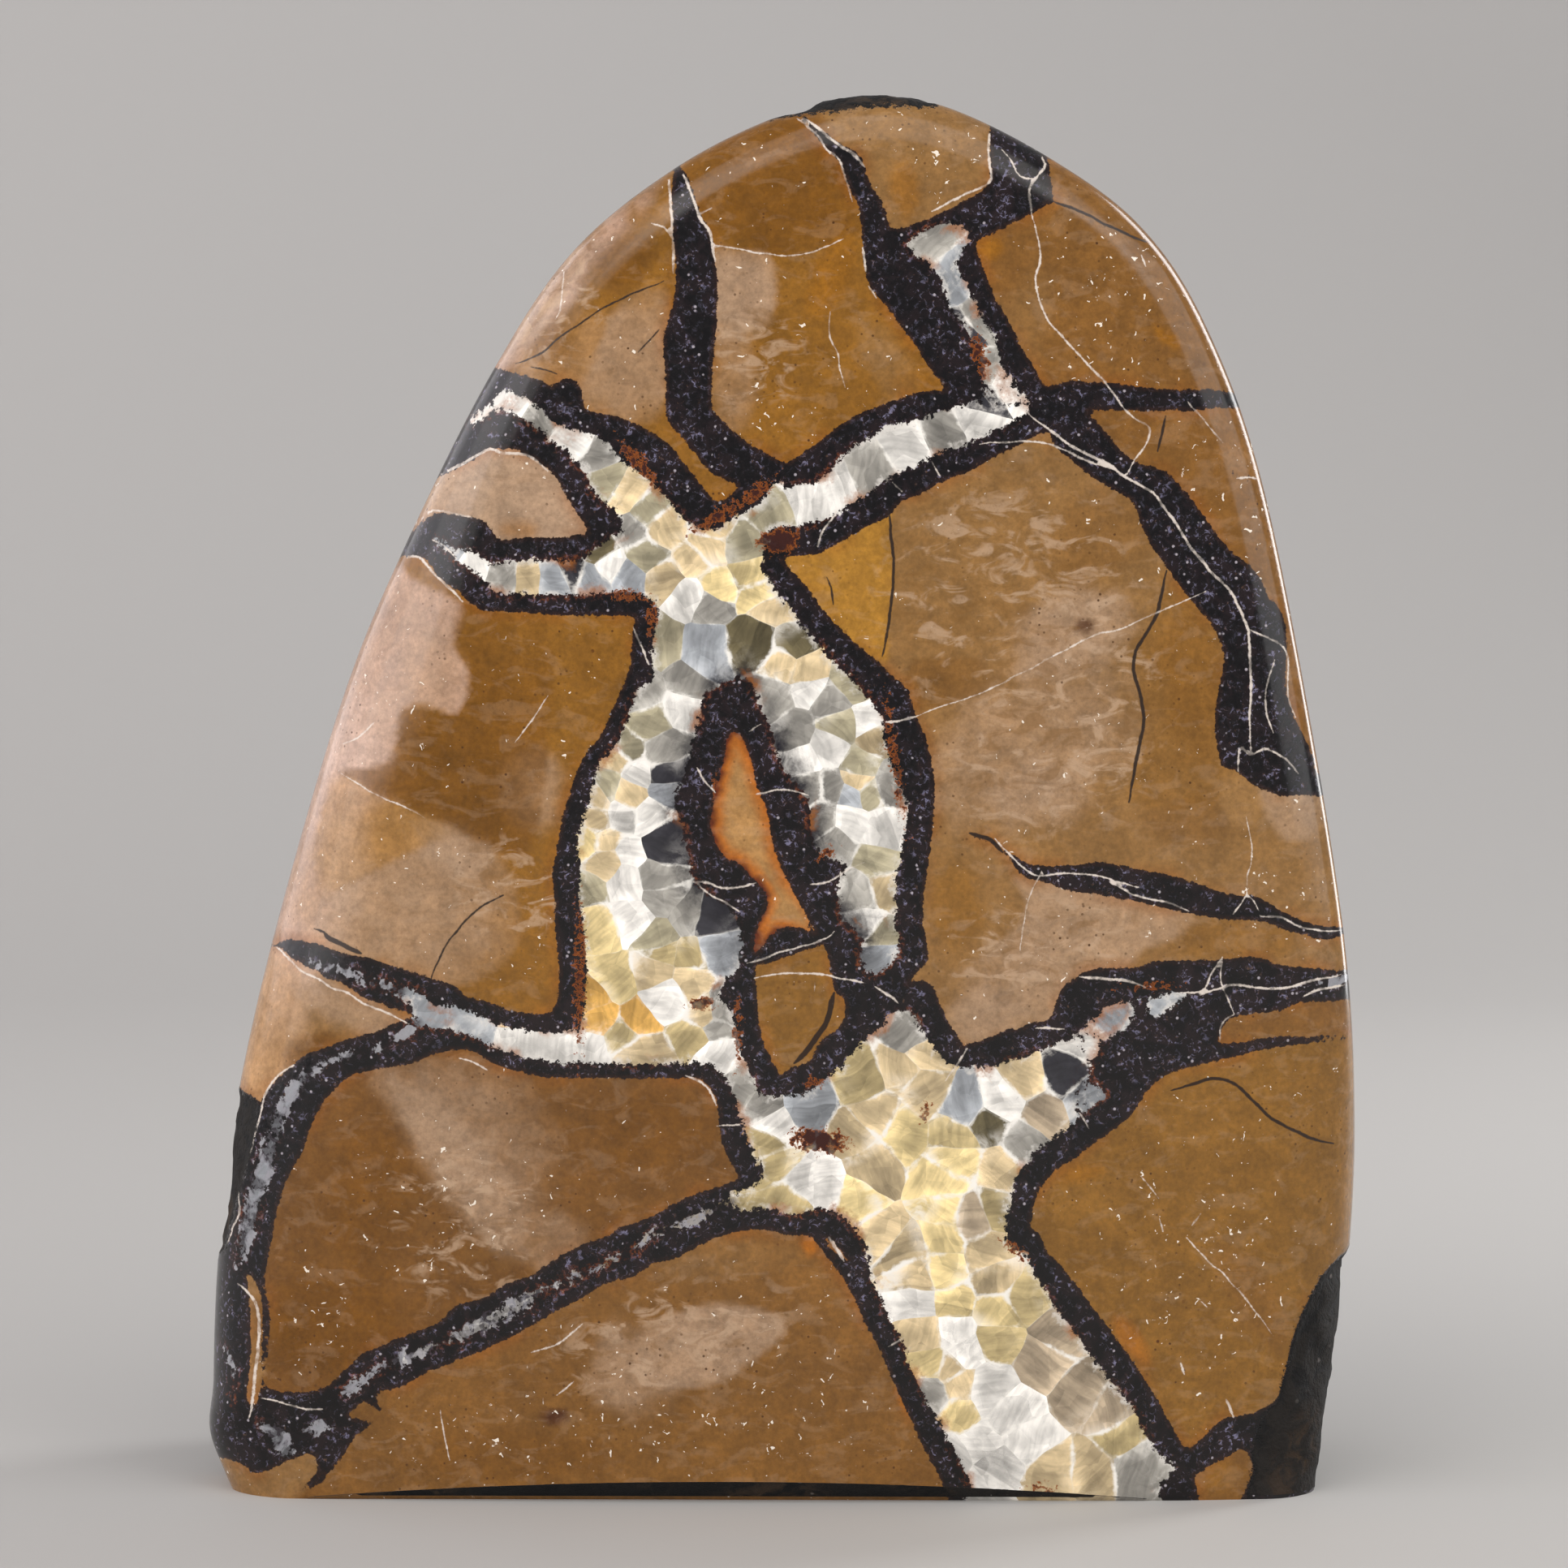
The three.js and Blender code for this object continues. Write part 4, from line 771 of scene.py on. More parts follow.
def back_y(x, z):
    """Depth of the natural back."""
    angle, distance = polar(x, z)
    sine = np.clip(distance / reach(angle), 0, 1) ** (1 / BACK_FULLNESS)
    taper = 1 - BACK_TAPER * (z - HEART[1]) / FACE_HALF_HEIGHT
    return SIDE_Y + (1 - sine**2) ** (BACK_FULLNESS / 2) * (taper * BACK_BULGE + bumps(LUMPS, x, z))


# Numbers of the pattern -------------------------------------------------------------------------------------


def joined(outlines):
    """Starts and ends of all the outlines' edges."""
    starts = np.vstack(outlines)
    ends = np.vstack([np.roll(outline, -1, 0) for outline in outlines])
    return starts, ends


BATCH = 4000  # places worked on at a time, to save memory


def in_batches(places, work):
    """What some work gives for all the places, done on one batch of them after another."""
    starts = range(0, len(places), BATCH)
    return np.concatenate([work(places[first : first + BATCH, None, :]) for first in starts])


def edge_distance(places, starts, ends, widths=None):
    """Distance of each place from the nearest edge, less the edge's half width there if it has one."""
    along = ends - starts
    length = np.maximum((along**2).sum(1), 1e-12)

    def nearest(some):
        x, z = np.moveaxis(some - starts, 2, 0)
        share = np.clip((x * along[:, 0] + z * along[:, 1]) / length, 0, 1)
        far = np.hypot(x - share * along[:, 0], z - share * along[:, 1])
        if widths is not None:
            far = far - (widths[0] + share * (widths[1] - widths[0]))
        return far.min(1)

    return in_batches(places, nearest)


def within(places, outline):
    """Which places lie inside a closed outline."""
    x, z = places[:, :1], places[:, 1:]
    (x1, z1), (x2, z2) = outline.T, np.roll(outline, -1, 0).T
    crosses = (z1 > z) != (z2 > z)
    slope = (x2 - x1) / np.where(z2 == z1, 1e-9, z2 - z1)
    return (crosses & (x < x1 + (z - z1) * slope)).sum(1) % 2 == 1


def depth_inside(places, outlines):
    """Millimetres inside the nearest outline, less than nought outside them all."""
    inside = np.zeros(len(places), bool)
    for outline in outlines:
        inside |= within(places, outline)
    return edge_distance(places, *joined(outlines)) * np.where(inside, 1, -1)


def line_depth(places, lines):
    """Millimetres inside the nearest of some lines with a half width."""
    starts = np.vstack([line[:-1] for line in lines])
    ends = np.vstack([line[1:] for line in lines])
    return -edge_distance(places, starts[:, :2], ends[:, :2], (starts[:, 2], ends[:, 2]))


def stray(places, size, amount, seed):
    """Smooth random moves of places on the face, up to about an amount."""
    moves = [noise.noise_vector(Vector((x / size, z / size, seed)))[:2] for x, z in places[:, :2].tolist()]
    return amount * np.array(moves)


def open_line(points, steps, spacing):
    """Smooth line through the points, with its own points that far apart."""
    return evenly(smooth_curve(points, steps, closed=False), spacing, closed=False)


BLOCK_EDGES = {name: smooth_curve(outline, 3) for name, (tone, outline) in BLOCKS.items()}
CALCITE_EDGES = {name: smooth_curve(outline, 2) for name, outline in CALCITE.items()}
CRUST_EDGES = {name: np.array(outline, float) for name, outline in CRUST.items()}
SEEDS = np.array([place for places in CRYSTALS.values() for place in places], float)
SEED_TONES = [tone for tone, places in CRYSTALS.items() for _ in places]


def drawn_lines(listed, boldness=1.0, spacing=0.5):
    """Fine lines as points with a half width, thinning out at both ends."""
    lines = []
    for half_width, points in listed:
        line = open_line(points, 6, spacing)
        line += stray(line, size=1.5, amount=0.12, seed=3.0)
        end = np.linspace(0, 1, len(line))
        taper = np.minimum(1, 0.35 + 5 * np.minimum(end, 1 - end))
        lines.append(np.column_stack([line, boldness * half_width * taper]))
    return lines


def thread_depth(places, names):
    """Millimetres inside some of the calcite threads."""
    return line_depth(places, [open_line(THREADS[name], 4, 1.0) for name in names])


def calcite_depth(places):
    """Millimetres inside the pale calcite, of zones and threads alike."""
    return np.maximum(depth_inside(places, list(CALCITE_EDGES.values())), thread_depth(places, THREADS))


def sway(places):
    """How far natural crystals stray from straight-sided ones, at each place."""
    return stray(places, size=5, amount=0.75, seed=2.0) + stray(places, size=1.7, amount=0.22, seed=6.0)


FAR_CORNERS = [(-90, -40), (90, -40), (90, 190), (-90, 190)]  # close the outermost crystals
LONGEST_BORDER = 60  # a longer one runs between two places far from all the calcite
BENDS = 3  # rounds in which a straight border takes the crystals' sway


def crystal_borders(step=0.5):
    """Edges between neighbouring crystals: lines as far from one crystal's middle as from the other's."""
    seeds = [Vector(place) for place in SEEDS.tolist() + FAR_CORNERS]
    places, _, triangles, *_ = geometry.delaunay_2d_cdt(seeds, [], [], 0, 1e-6)
    corners = np.array([[places[i] for i in triangle] for triangle in triangles], float)
    a, b, c = corners[:, 0], corners[:, 1] - corners[:, 0], corners[:, 2] - corners[:, 0]
    twice = 2 * (b[:, 0] * c[:, 1] - b[:, 1] * c[:, 0])
    bb, cc = (b**2).sum(1), (c**2).sum(1)
    middle = a + np.column_stack([c[:, 1] * bb - b[:, 1] * cc, b[:, 0] * cc - c[:, 0] * bb]) / twice[:, None]
    shared = {}
    for number, triangle in enumerate(triangles):
        for i in range(3):
            shared.setdefault(frozenset((triangle[i], triangle[i - 1])), []).append(number)
    borders = []
    for pair in shared.values():
        start, end = middle[pair[0]], middle[pair[-1]]
        length = np.hypot(*(end - start))
        if len(pair) == 2 and length < LONGEST_BORDER:
            count = max(2, math.ceil(length / step) + 1)
            straight = start + (end - start) * np.linspace(0, 1, count)[:, None]
            bent = straight
            for _ in range(BENDS):
                bent = straight - sway(bent)
            borders.append(bent)
    return borders


# Mesh -------------------------------------------------------------------------------------------------------


def honeycomb(low, high, spacing):
    """Points of a triangle grid over a rectangle."""
    rows = np.arange(low[1], high[1], spacing * math.sqrt(3) / 2)
    columns = np.arange(low[0], high[0], spacing)
    x = columns[None, :] + (np.arange(len(rows)) % 2)[:, None] * spacing / 2
    return np.column_stack([x.ravel(), np.repeat(rows, len(columns))])


def inset(places):
    """Distance in from the widest outline, towards the heart."""
    angle, distance = polar(*places.T)
    return reach(angle) - distance


def upright(places):
    """Places on the face as points in space, with nought for the third number."""
    return np.column_stack([places, np.zeros(len(places))])


def gaps_to(points, taken):
    """Distance of each point from the nearest of those already taken."""
    tree = kdtree.KDTree(len(taken))
    for i, point in enumerate(taken):
        tree.insert(point, i)
    tree.balance()
    return np.array([tree.find(point)[2] for point in points])


def thinned(places, taken, gap):
    """The places that keep clear of those already taken."""
    return places[gaps_to(upright(places), upright(taken)) > gap]


def triangulated(loop, chains, loose):
    """Triangles between a closed loop, chains of points to keep as edges, and loose points."""
    points, edges = [loop], [(i, (i + 1) % len(loop)) for i in range(len(loop))]
    count = len(loop)
    for chain in chains:
        edges += [(count + i, count + i + 1) for i in range(len(chain) - 1)]
        points.append(chain)
        count += len(chain)
    points.append(loose)
    vectors = [Vector(place) for place in np.vstack(points).tolist()]
    places, _, triangles, *_ = geometry.delaunay_2d_cdt(vectors, edges, [], 1, 1e-4)
    return np.array(places, float), triangles


def kept_stretches(chain, keep):
    """The stretches of a chain whose points are all to be kept."""
    turns = np.flatnonzero(np.diff(keep.astype(int))) + 1
    parts = zip(np.split(chain, turns), np.split(keep, turns))
    return [part for part, good in parts if good[0] and len(part) > 1]


FIRST_INSET = 0.35  # where the face's triangles end and the rows of the shoulder begin
INSET_RINGS = (0.6, 0.95, 1.4)
SHOULDER_ROWS, SIDE_ROWS, BACK_ROWS = 3, 10, 16
BACK_TURN = math.radians(52)  # how far round towards the back crown the back's rows go
UNDER_FOOT = -1.3  # below this the mesh is coarse, because the saw takes it away
FIELD = (-64, UNDER_FOOT), (64, 151)  # rectangle that holds the whole face
FIELD_UNDER_FOOT = (-60, -30), (60, UNDER_FOOT - 1)
UNDER_FOOT_SPACING = 4.0
GROUND_EDGE = (-57.0, 42.0)  # from where to where the ground edge over the foot runs
GROUND_STEP = 0.55
CLEAR_OF_RIM = 0.9  # how far in the face's own lines end
NEAR_CALCITE = -0.3  # a crystal's border is followed as far out as this
BACK_GAP = 0.012  # share of the way out that the back's loose points keep from its rows
SEAM = 0.002 * MM  # points nearer than this are one point
SAW_REACH = 1e-7


def on_ray(angle, radius):
    """Places at a distance from the heart."""
    return np.column_stack([HEART[0] + radius * np.cos(angle), HEART[1] + radius * np.sin(angle)])


def body_rows(rim):
    """Rows of points from the edge of the face, over the shoulder and the side, on to the back."""
    angle, distance = polar(*rim.T)
    width = shoulder_width(angle)
    first = np.arccos((width - FIRST_INSET) / width)
    rows = []
    for step in range(SHOULDER_ROWS):
        turn = first * (1 - step / SHOULDER_ROWS)
        place = on_ray(angle, distance - width + width * np.cos(turn))
        drop = SHOULDER_DROP * width * (1 - np.sin(turn))
        rows.append((place, dome_y(*place.T) + drop if step else front_y(*place.T)))
    for step in range(SIDE_ROWS):
        share = step / SIDE_ROWS
        place = on_ray(angle, distance - bumps(DENTS, *rim.T) * math.sin(math.pi * share))
        rows.append((place, rim_y(angle) + share * (SIDE_Y - rim_y(angle))))
    for step in range(BACK_ROWS + 1):
        turn = math.pi / 2 + (BACK_TURN - math.pi / 2) * step / BACK_ROWS
        place = on_ray(angle, distance * math.sin(turn) ** BACK_FULLNESS)
        rows.append((place, back_y(*place.T)))
    return rows


def solid_points(places, depths):
    """Points in space from places on the front and their depths."""
    return np.column_stack([places[:, 0], depths, places[:, 1]])


def pattern_chains():
    """Every crystal border and fine crack on the face, as chains of points the mesh has to follow."""
    chains = []
    for border in crystal_borders():
        near = calcite_depth(border) > NEAR_CALCITE
        chains += kept_stretches(border, near & (inset(border) > CLEAR_OF_RIM) & (border[:, 1] > UNDER_FOOT))
    for line in drawn_lines(PALE_LINES + DARK_LINES):
        inside = (inset(line[:, :2]) > CLEAR_OF_RIM) & (line[:, 1] > UNDER_FOOT)
        chains += kept_stretches(line[:, :2], inside)
    x = np.arange(*GROUND_EDGE, GROUND_STEP)
    z = np.full_like(x, FOOT_CHAMFER)
    for _ in range(6):
        z = dome_y(HEART[0], 0) + FOOT_CHAMFER - math.tan(CHAMFER_TAPER) * x - dome_y(x, z)
    ground = np.column_stack([x, z])
    return chains + kept_stretches(ground, (inset(ground) > CLEAR_OF_RIM) & (z > 0.2))


def beside_lines(gap=0.32):
    """Points on both sides of every fine crack, so that it keeps its width."""
    sides = []
    for line in drawn_lines(PALE_LINES + DARK_LINES):
        along = np.gradient(line[:, :2], axis=0)
        along /= np.maximum(np.hypot(*along.T), 1e-9)[:, None]
        aside = gap * np.column_stack([-along[:, 1], along[:, 0]])
        sides += [line[:, :2] + aside, line[:, :2] - aside]
    return np.vstack(sides)


def face_sheet(rim, spacing):
    """Points and triangles of the polished face."""
    angle, distance = polar(*rim.T)
    loop = on_ray(angle, distance - FIRST_INSET)
    chains = pattern_chains()
    rings = [on_ray(angle, distance - deep) for deep in INSET_RINGS]
    fine = honeycomb(*FIELD, spacing)
    coarse = honeycomb(*FIELD_UNDER_FOOT, UNDER_FOOT_SPACING)
    loose = np.vstack([beside_lines(), *rings, fine[inset(fine) > 1.75], coarse[inset(coarse) > 2.5]])
    loose = loose[inset(loose) > FIRST_INSET + 0.15]
    loose = thinned(loose, np.vstack(chains), spacing * 0.42)
    places, triangles = triangulated(loop, chains, loose)
    return solid_points(places, front_y(*places.T)), triangles


def back_sheet(loop, spacing):
    """Points and triangles of the middle of the natural back."""
    loose = honeycomb(*FIELD, spacing)
    angle, distance = polar(*loose.T)
    loose = loose[distance / reach(angle) < math.sin(BACK_TURN) ** BACK_FULLNESS - BACK_GAP]
    places, triangles = triangulated(loop, [], loose)
    return solid_points(places, back_y(*places.T)), triangles


def select_all_of(piece):
    """Makes the piece active and selects all of its mesh in edit mode."""
    bpy.ops.object.select_all(action="DESELECT")
    piece.select_set(True)
    bpy.context.view_layer.objects.active = piece
    bpy.ops.object.mode_set(mode="EDIT")
    bpy.ops.mesh.select_mode(type="VERT")
    bpy.ops.mesh.select_all(action="SELECT")


def rough_body(shape):
    """The whole stone before its foot is sawn, as an object in place."""
    rim = evenly(EDGE, shape.rim_spacing / MM)
    rows = body_rows(rim)
    sheets = [face_sheet(rim, shape.face_spacing / MM), back_sheet(rows[-1][0], shape.back_spacing / MM)]
    points = [solid_points(*row) for row in rows]
    count = len(rim)
    faces = []
    for start in range(0, (len(rows) - 1) * count, count):
        for i in range(count):
            j = (i + 1) % count
            faces.append((start + i, start + j, start + count + j, start + count + i))
    for sheet, triangles in sheets:
        start = sum(len(part) for part in points)
        faces += [tuple(start + i for i in triangle) for triangle in triangles]
        points.append(sheet)
    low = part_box("nodule")[0]
    shift = np.array([low.x, low.y, 0]) / MM - (EDGE[:, 0].min(), -CROWN_TO_CROWN / 2, 0)
    mesh = bpy.data.meshes.new("nodule_stone")
    mesh.from_pydata(((np.vstack(points) + shift) * MM).tolist(), [], faces)
    piece = bpy.data.objects.new("nodule_stone", mesh)
    bpy.context.collection.objects.link(piece)
    select_all_of(piece)
    bpy.ops.mesh.remove_doubles(threshold=SEAM)
    bpy.ops.mesh.normals_make_consistent(inside=False)
    bpy.ops.mesh.bisect(plane_co=(0, 0, 0), plane_no=(0, 0, 1), clear_inner=True, threshold=SAW_REACH)
    bpy.ops.object.mode_set(mode="OBJECT")
    return piece, shift


def close_foot(piece, spacing):
    """Fills the sawn foot with even triangles."""
    built = bmesh.new()
    built.from_mesh(piece.data)
    built.verts.ensure_lookup_table()
    open_edges = [edge for edge in built.edges if edge.is_boundary]
    if not open_edges:
        raise RuntimeError("the saw left no opening to fill")
    ends = sorted({vertex for edge in open_edges for vertex in edge.verts}, key=lambda vertex: vertex.index)
    number = {vertex: i for i, vertex in enumerate(ends)}
    for vertex in ends:
        vertex.co.z = 0
    loop = np.array([vertex.co[:2] for vertex in ends]) / MM
    edges = [tuple(number[vertex] for vertex in edge.verts) for edge in open_edges]
    loose = thinned(honeycomb(loop.min(0), loop.max(0), spacing), loop, spacing * 0.6)
    vectors = [Vector(place) for place in np.vstack([loop, loose]).tolist()]
    places, _, triangles, origins, *_ = geometry.delaunay_2d_cdt(vectors, edges, [], 1, 1e-5)
    vertices = []
    for place, origin in zip(places, origins):
        known = [i for i in origin if i < len(ends)]
        vertices.append(ends[known[0]] if known else built.verts.new((place.x * MM, place.y * MM, 0)))
    for triangle in triangles:
        if len({vertices[i] for i in triangle}) == 3:
            built.faces.new([vertices[i] for i in triangle])
    bmesh.ops.delete(built, geom=[vertex for vertex in built.verts if not vertex.link_faces], context="VERTS")
    bmesh.ops.recalc_face_normals(built, faces=built.faces)
    gaps = sum(1 for edge in built.edges if not edge.is_manifold)
    built.to_mesh(piece.data)
    built.free()
    if gaps:
        raise RuntimeError(f"the stone isn't closed: {gaps} edges stand open")


# Pattern written on the mesh --------------------------------------------------------------------------------

LEAN = 0.3  # how far the cracks close in towards the heart, per millimetre of depth
POLISH_END = -10.5  # depth at which the polished side gives way to the natural crust
CRUST_WIDENS = -17  # depth from which the strips of crust on the front grow wider
CRACK_STAIN = "#8A4E10"  # colour of the limestone beside the cracks
ISLAND_RIMS = (("#B0641C", 1.7), ("#5E260A", 0.55))  # colour and width of the rusty rims of the island
DRIFTS = ((9.0, 21.0), (3.6, 23.0), (14.0, 29.0))  # size and seed of the slow changes over the stone
LINE_BOLDNESS = 0.66  # share of their listed width that the pale cracks show
SAWN = 0.01  # a point lower than this lies on the sawn foot
GROUND_TOP = 4  # the ground edge lies lower than this
FOOT_CRUST = 1.2  # how far in from its natural outside the foot is crust
GROUND_SHADE_DEPTH = 0.6  # the ground edge is given crust of this depth, so it is painted near black as the shade under the face


def pattern_place(points):
    """Where on the front's pattern a point of the stone lies: the cracks lean inwards as they go back."""
    angle, distance = polar(points[:, 0], points[:, 2])
    depth = np.maximum(points[:, 1] - rim_y(angle), 0)
    closer = distance * np.exp(-LEAN * depth / np.maximum(distance, 1))
    swing = 0.035 * np.sin(depth / 5) * np.clip(distance / 20, 0, 1)
    return on_ray(angle + swing, closer)


def soft_step(low, high, value):
    """0 below low, 1 above high, eased between them."""
    share = np.clip((value - low) / (high - low), 0, 1)
    return share * share * (3 - 2 * share)


def fractal(points, size, seed, octaves=3):
    """Smooth random numbers over the stone, about -1 to 1."""
    offset = Vector((seed, seed * 1.7, -seed))
    places = (Vector(point) / size + offset for point in points.tolist())
    return np.array([noise.fractal(place, 1.0, 2.1, octaves) for place in places])


def linear(code):
    """sRGB hex colour as linear red, green, blue and alpha."""
    channels = [int(code[i : i + 2], 16) / 255 for i in (1, 3, 5)]
    return (*(c / 12.92 if c <= 0.04045 else ((c + 0.055) / 1.055) ** 2.4 for c in channels), 1.0)


def crust_depth(points):
    """Millimetres inside the natural crust, on the back or where it was left round the front."""
    behind = points[:, 1] - POLISH_END - 2.4 * fractal(points, 9.0, 5.0)
    shown = depth_inside(points[:, [0, 2]], list(CRUST_EDGES.values()))
    widening = np.maximum(points[:, 1] - CRUST_WIDENS, 0) * (0.45 + 0.5 * fractal(points, 6.0, 8.0))
    return np.maximum(behind, shown + widening)


def turned_reach(places, x, z, half_width, half_height, turn):
    """How far out each place is in a turned ellipse: 0 in its middle, 1 on its edge."""
    cosine, sine = math.cos(math.radians(turn)), math.sin(math.radians(turn))
    along = ((places[:, 0] - x) * cosine + (places[:, 1] - z) * sine) / half_width
    across = ((places[:, 1] - z) * cosine - (places[:, 0] - x) * sine) / half_height
    return np.hypot(along, across)


def spread(places, ellipses):
    """1 in the middle of any of some ellipses, 0 outside them all."""
    return np.max([soft_step(1.25, 0.5, turned_reach(places, *each)) for each in ellipses], axis=0)


def painted(tint, code, weight):
    """The tint blended towards a colour, by a weight at each place."""
    return tint + weight[:, None] * (np.array(linear(code)[:3]) - tint)


def stone_tint(places):
    """Colour of the limestone: each block's tone, its clouds and patches, and the stain along the cracks."""
    names = list(BLOCKS)
    depth = np.stack([depth_inside(places, [BLOCK_EDGES[name]]) for name in names])
    tones = np.array([linear(STONE_TONES[BLOCKS[name][0]])[:3] for name in names])
    tint = tones[depth.argmax(0)]
    flat = upright(places)
    wobble, broad, small = fractal(flat, 3.2, 11.0), fractal(flat, 10.0, 3.0), fractal(flat, 2.5, 8.0)
    for *ellipse, tone, strength in CLOUDS:
        cloud = soft_step(1.4, 0.6, turned_reach(places, *ellipse) + 0.3 * wobble)
        tint = painted(tint, STONE_TONES[tone], strength * cloud)
    for tone, strength, x, z, far, outline in PATCHES:
        fade = soft_step(1.0, 0.35, np.hypot(places[:, 0] - x, places[:, 1] - z) / far + 0.15 * wobble)
        sharp = soft_step(-0.3, 0.4, depth_inside(places, [smooth_curve(outline, 3)]))
        tint = painted(tint, STONE_TONES[tone], strength * fade * sharp)
    tint *= (1 + 0.16 * broad + 0.12 * small)[:, None]
    stain = 0.5 * soft_step(1.5, 0.0, depth.max(0)) * soft_step(-0.25, 0.45, broad + 0.4 * wobble)
    tint = painted(tint, CRACK_STAIN, stain)
    island = depth.argmax(0) == names.index("island")
    rightwards = places[:, 0] + 5.6 - 0.25 * (80 - places[:, 1])  # the rims are thinner on the right
    rim = depth[names.index("island")] + 0.4 * wobble + 0.25 * np.maximum(rightwards, 0)
    for code, width in ISLAND_RIMS:
        tint = painted(tint, code, island * soft_step(width, 0.3 * width, rim))
    return np.clip(tint, 0.002, 0.9)


def rust_depth(places):
    """Millimetres inside the rusty stars and smears."""
    depth = np.full(len(places), -9.0)
    for x, z, half_width, half_height, turn in RUST:
        out = turned_reach(places, x, z, half_width, half_height, turn)
        depth = np.maximum(depth, (1 - out) * min(half_width, half_height))
    return depth


def nearest_seed(places):
    """Number of the crystal that each place belongs to."""
    return in_batches(places, lambda some: ((some - SEEDS) ** 2).sum(2).argmin(1))


def border_distance(places):
    """Distance of each place from the nearest border between two crystals."""

    def nearest(some):
        square = ((some - SEEDS) ** 2).sum(2)
        two = np.argpartition(square, 1, axis=1)[:, :2]
        near = np.take_along_axis(square, two, 1)
        between = np.hypot(*(SEEDS[two[:, 0]] - SEEDS[two[:, 1]]).T)
        return np.abs(near[:, 1] - near[:, 0]) / (2 * between)

    return in_batches(places, nearest)


def write(mesh, name, kind, domain, values):
    """Writes an attribute."""
    attribute = mesh.attributes.new(name, kind, domain)
    channel = {"FLOAT": "value", "FLOAT_VECTOR": "vector", "FLOAT_COLOR": "color"}[kind]
    attribute.data.foreach_set(channel, np.ascontiguousarray(values, np.float32).ravel())


def with_alpha(tint):
    """Red, green and blue with an alpha of 1."""
    return np.column_stack([tint, np.ones(len(tint))])


def fetched(items, name, width=3, kind=float):
    """One property of all the mesh's points, faces or corners."""
    values = np.empty(len(items) * width, kind)
    items.foreach_get(name, values)
    return values.reshape(-1, width) if width > 1 else values


def points_of(mesh, shift):
    """The mesh's points in the pattern's millimetres."""
    return fetched(mesh.vertices, "co") / MM - shift


def write_pattern(piece, shift):
    """Writes what the stone is made of at each point: limestone, lining, calcite, fine cracks and crust, with
    painted shade on the ground edge.
    """
    mesh = piece.data
    points = points_of(mesh, shift)
    places = pattern_place(points)
    crystal_places = places + sway(places)
    foot = points[:, 2] < SAWN
    ground = np.abs(points[:, 1] - chamfer_y(points[:, 0], points[:, 2])) < 0.02
    ground &= (points[:, 2] < GROUND_TOP) & ~foot
    crust = np.where(foot, FOOT_CRUST - foot_depth(mesh, points, foot), crust_depth(points))
    # painted shade: the ground edge under the polished face is coloured as near-black crust, standing in for
    # the shadow that falls there
    crust = np.where(ground, GROUND_SHADE_DEPTH, crust)
    blocks = depth_inside(places, list(BLOCK_EDGES.values()))
    core = calcite_depth(places)
    solid = np.maximum(depth_inside(places, list(CALCITE_EDGES.values())), thread_depth(places, ["left_arm"]))
    levels = {
        "limestone": blocks,
        "calcite": core,
        "thread": soft_step(0.0, 0.8, core - solid),
        "border": border_distance(crystal_places),
        "pale_line": line_depth(places, drawn_lines(PALE_LINES, LINE_BOLDNESS)),
        "dark_line": line_depth(places, drawn_lines(DARK_LINES)),
        "rust": rust_depth(places),
        "wispy": spread(places, WISPY),
        "flecked": spread(places, FLECKED),
        "smoky": spread(places, SMOKY),
        "crust": crust,
    }
    for name, values in levels.items():
        write(mesh, name, "FLOAT", "POINT", values)
    write(mesh, "stone_tint", "FLOAT_COLOR", "POINT", with_alpha(stone_tint(places)))
    drift = np.column_stack([fractal(points, size, seed, 2) for size, seed in DRIFTS])
    write(mesh, "drift", "FLOAT_VECTOR", "POINT", drift)
    write_crystals(mesh, crystal_places)
    return np.where(ground, -1, crust), blocks


FAR_INSIDE = 99.0  # depth given to the points that aren't on the foot


def foot_depth(mesh, points, foot):
    """For points of the sawn foot, the distance from the natural outside."""
    outside = np.zeros(len(points), bool)
    for edge in mesh.edges:
        a, b = edge.vertices
        if foot[a] != foot[b]:
            outside[a if foot[a] else b] = True
    outside &= foot & (points[:, 1] > POLISH_END)
    depth = np.full(len(points), FAR_INSIDE)
    depth[foot] = gaps_to(points[foot], points[outside])
    return depth


def write_crystals(mesh, places):
    """Writes each face's crystal: its colour, and the place within it turned to the crystal's own grain."""
    corner_point = fetched(mesh.loops, "vertex_index", 1, int)
    sizes = fetched(mesh.polygons, "loop_total", 1, int)
    face_of_corner = np.repeat(np.arange(len(sizes)), sizes)
    sums = [np.bincount(face_of_corner, places[corner_point, axis]) for axis in (0, 1)]
    seed = nearest_seed(np.stack(sums, axis=1) / sizes[:, None])
    draw = np.random.default_rng(7)
    turn = draw.uniform(0, 2 * math.pi, len(SEEDS))
    lightness = draw.uniform(0.86, 1.1, (len(SEEDS), 1))
    tints = np.array([linear(CRYSTAL_TONES[tone])[:3] for tone in SEED_TONES]) * lightness
    write(mesh, "crystal_tint", "FLOAT_COLOR", "FACE", with_alpha(np.clip(tints[seed], 0, 0.93)))
    owner = seed[face_of_corner]
    offset = places[corner_point] - SEEDS[owner]
    cosine, sine = np.cos(turn[owner]), np.sin(turn[owner])
    grain = np.column_stack([
        offset[:, 0] * cosine + offset[:, 1] * sine,
        offset[:, 1] * cosine - offset[:, 0] * sine,
        draw.uniform(0, 50, len(SEEDS))[owner],
    ])
    write(mesh, "grain", "FLOAT_VECTOR", "CORNER", grain)


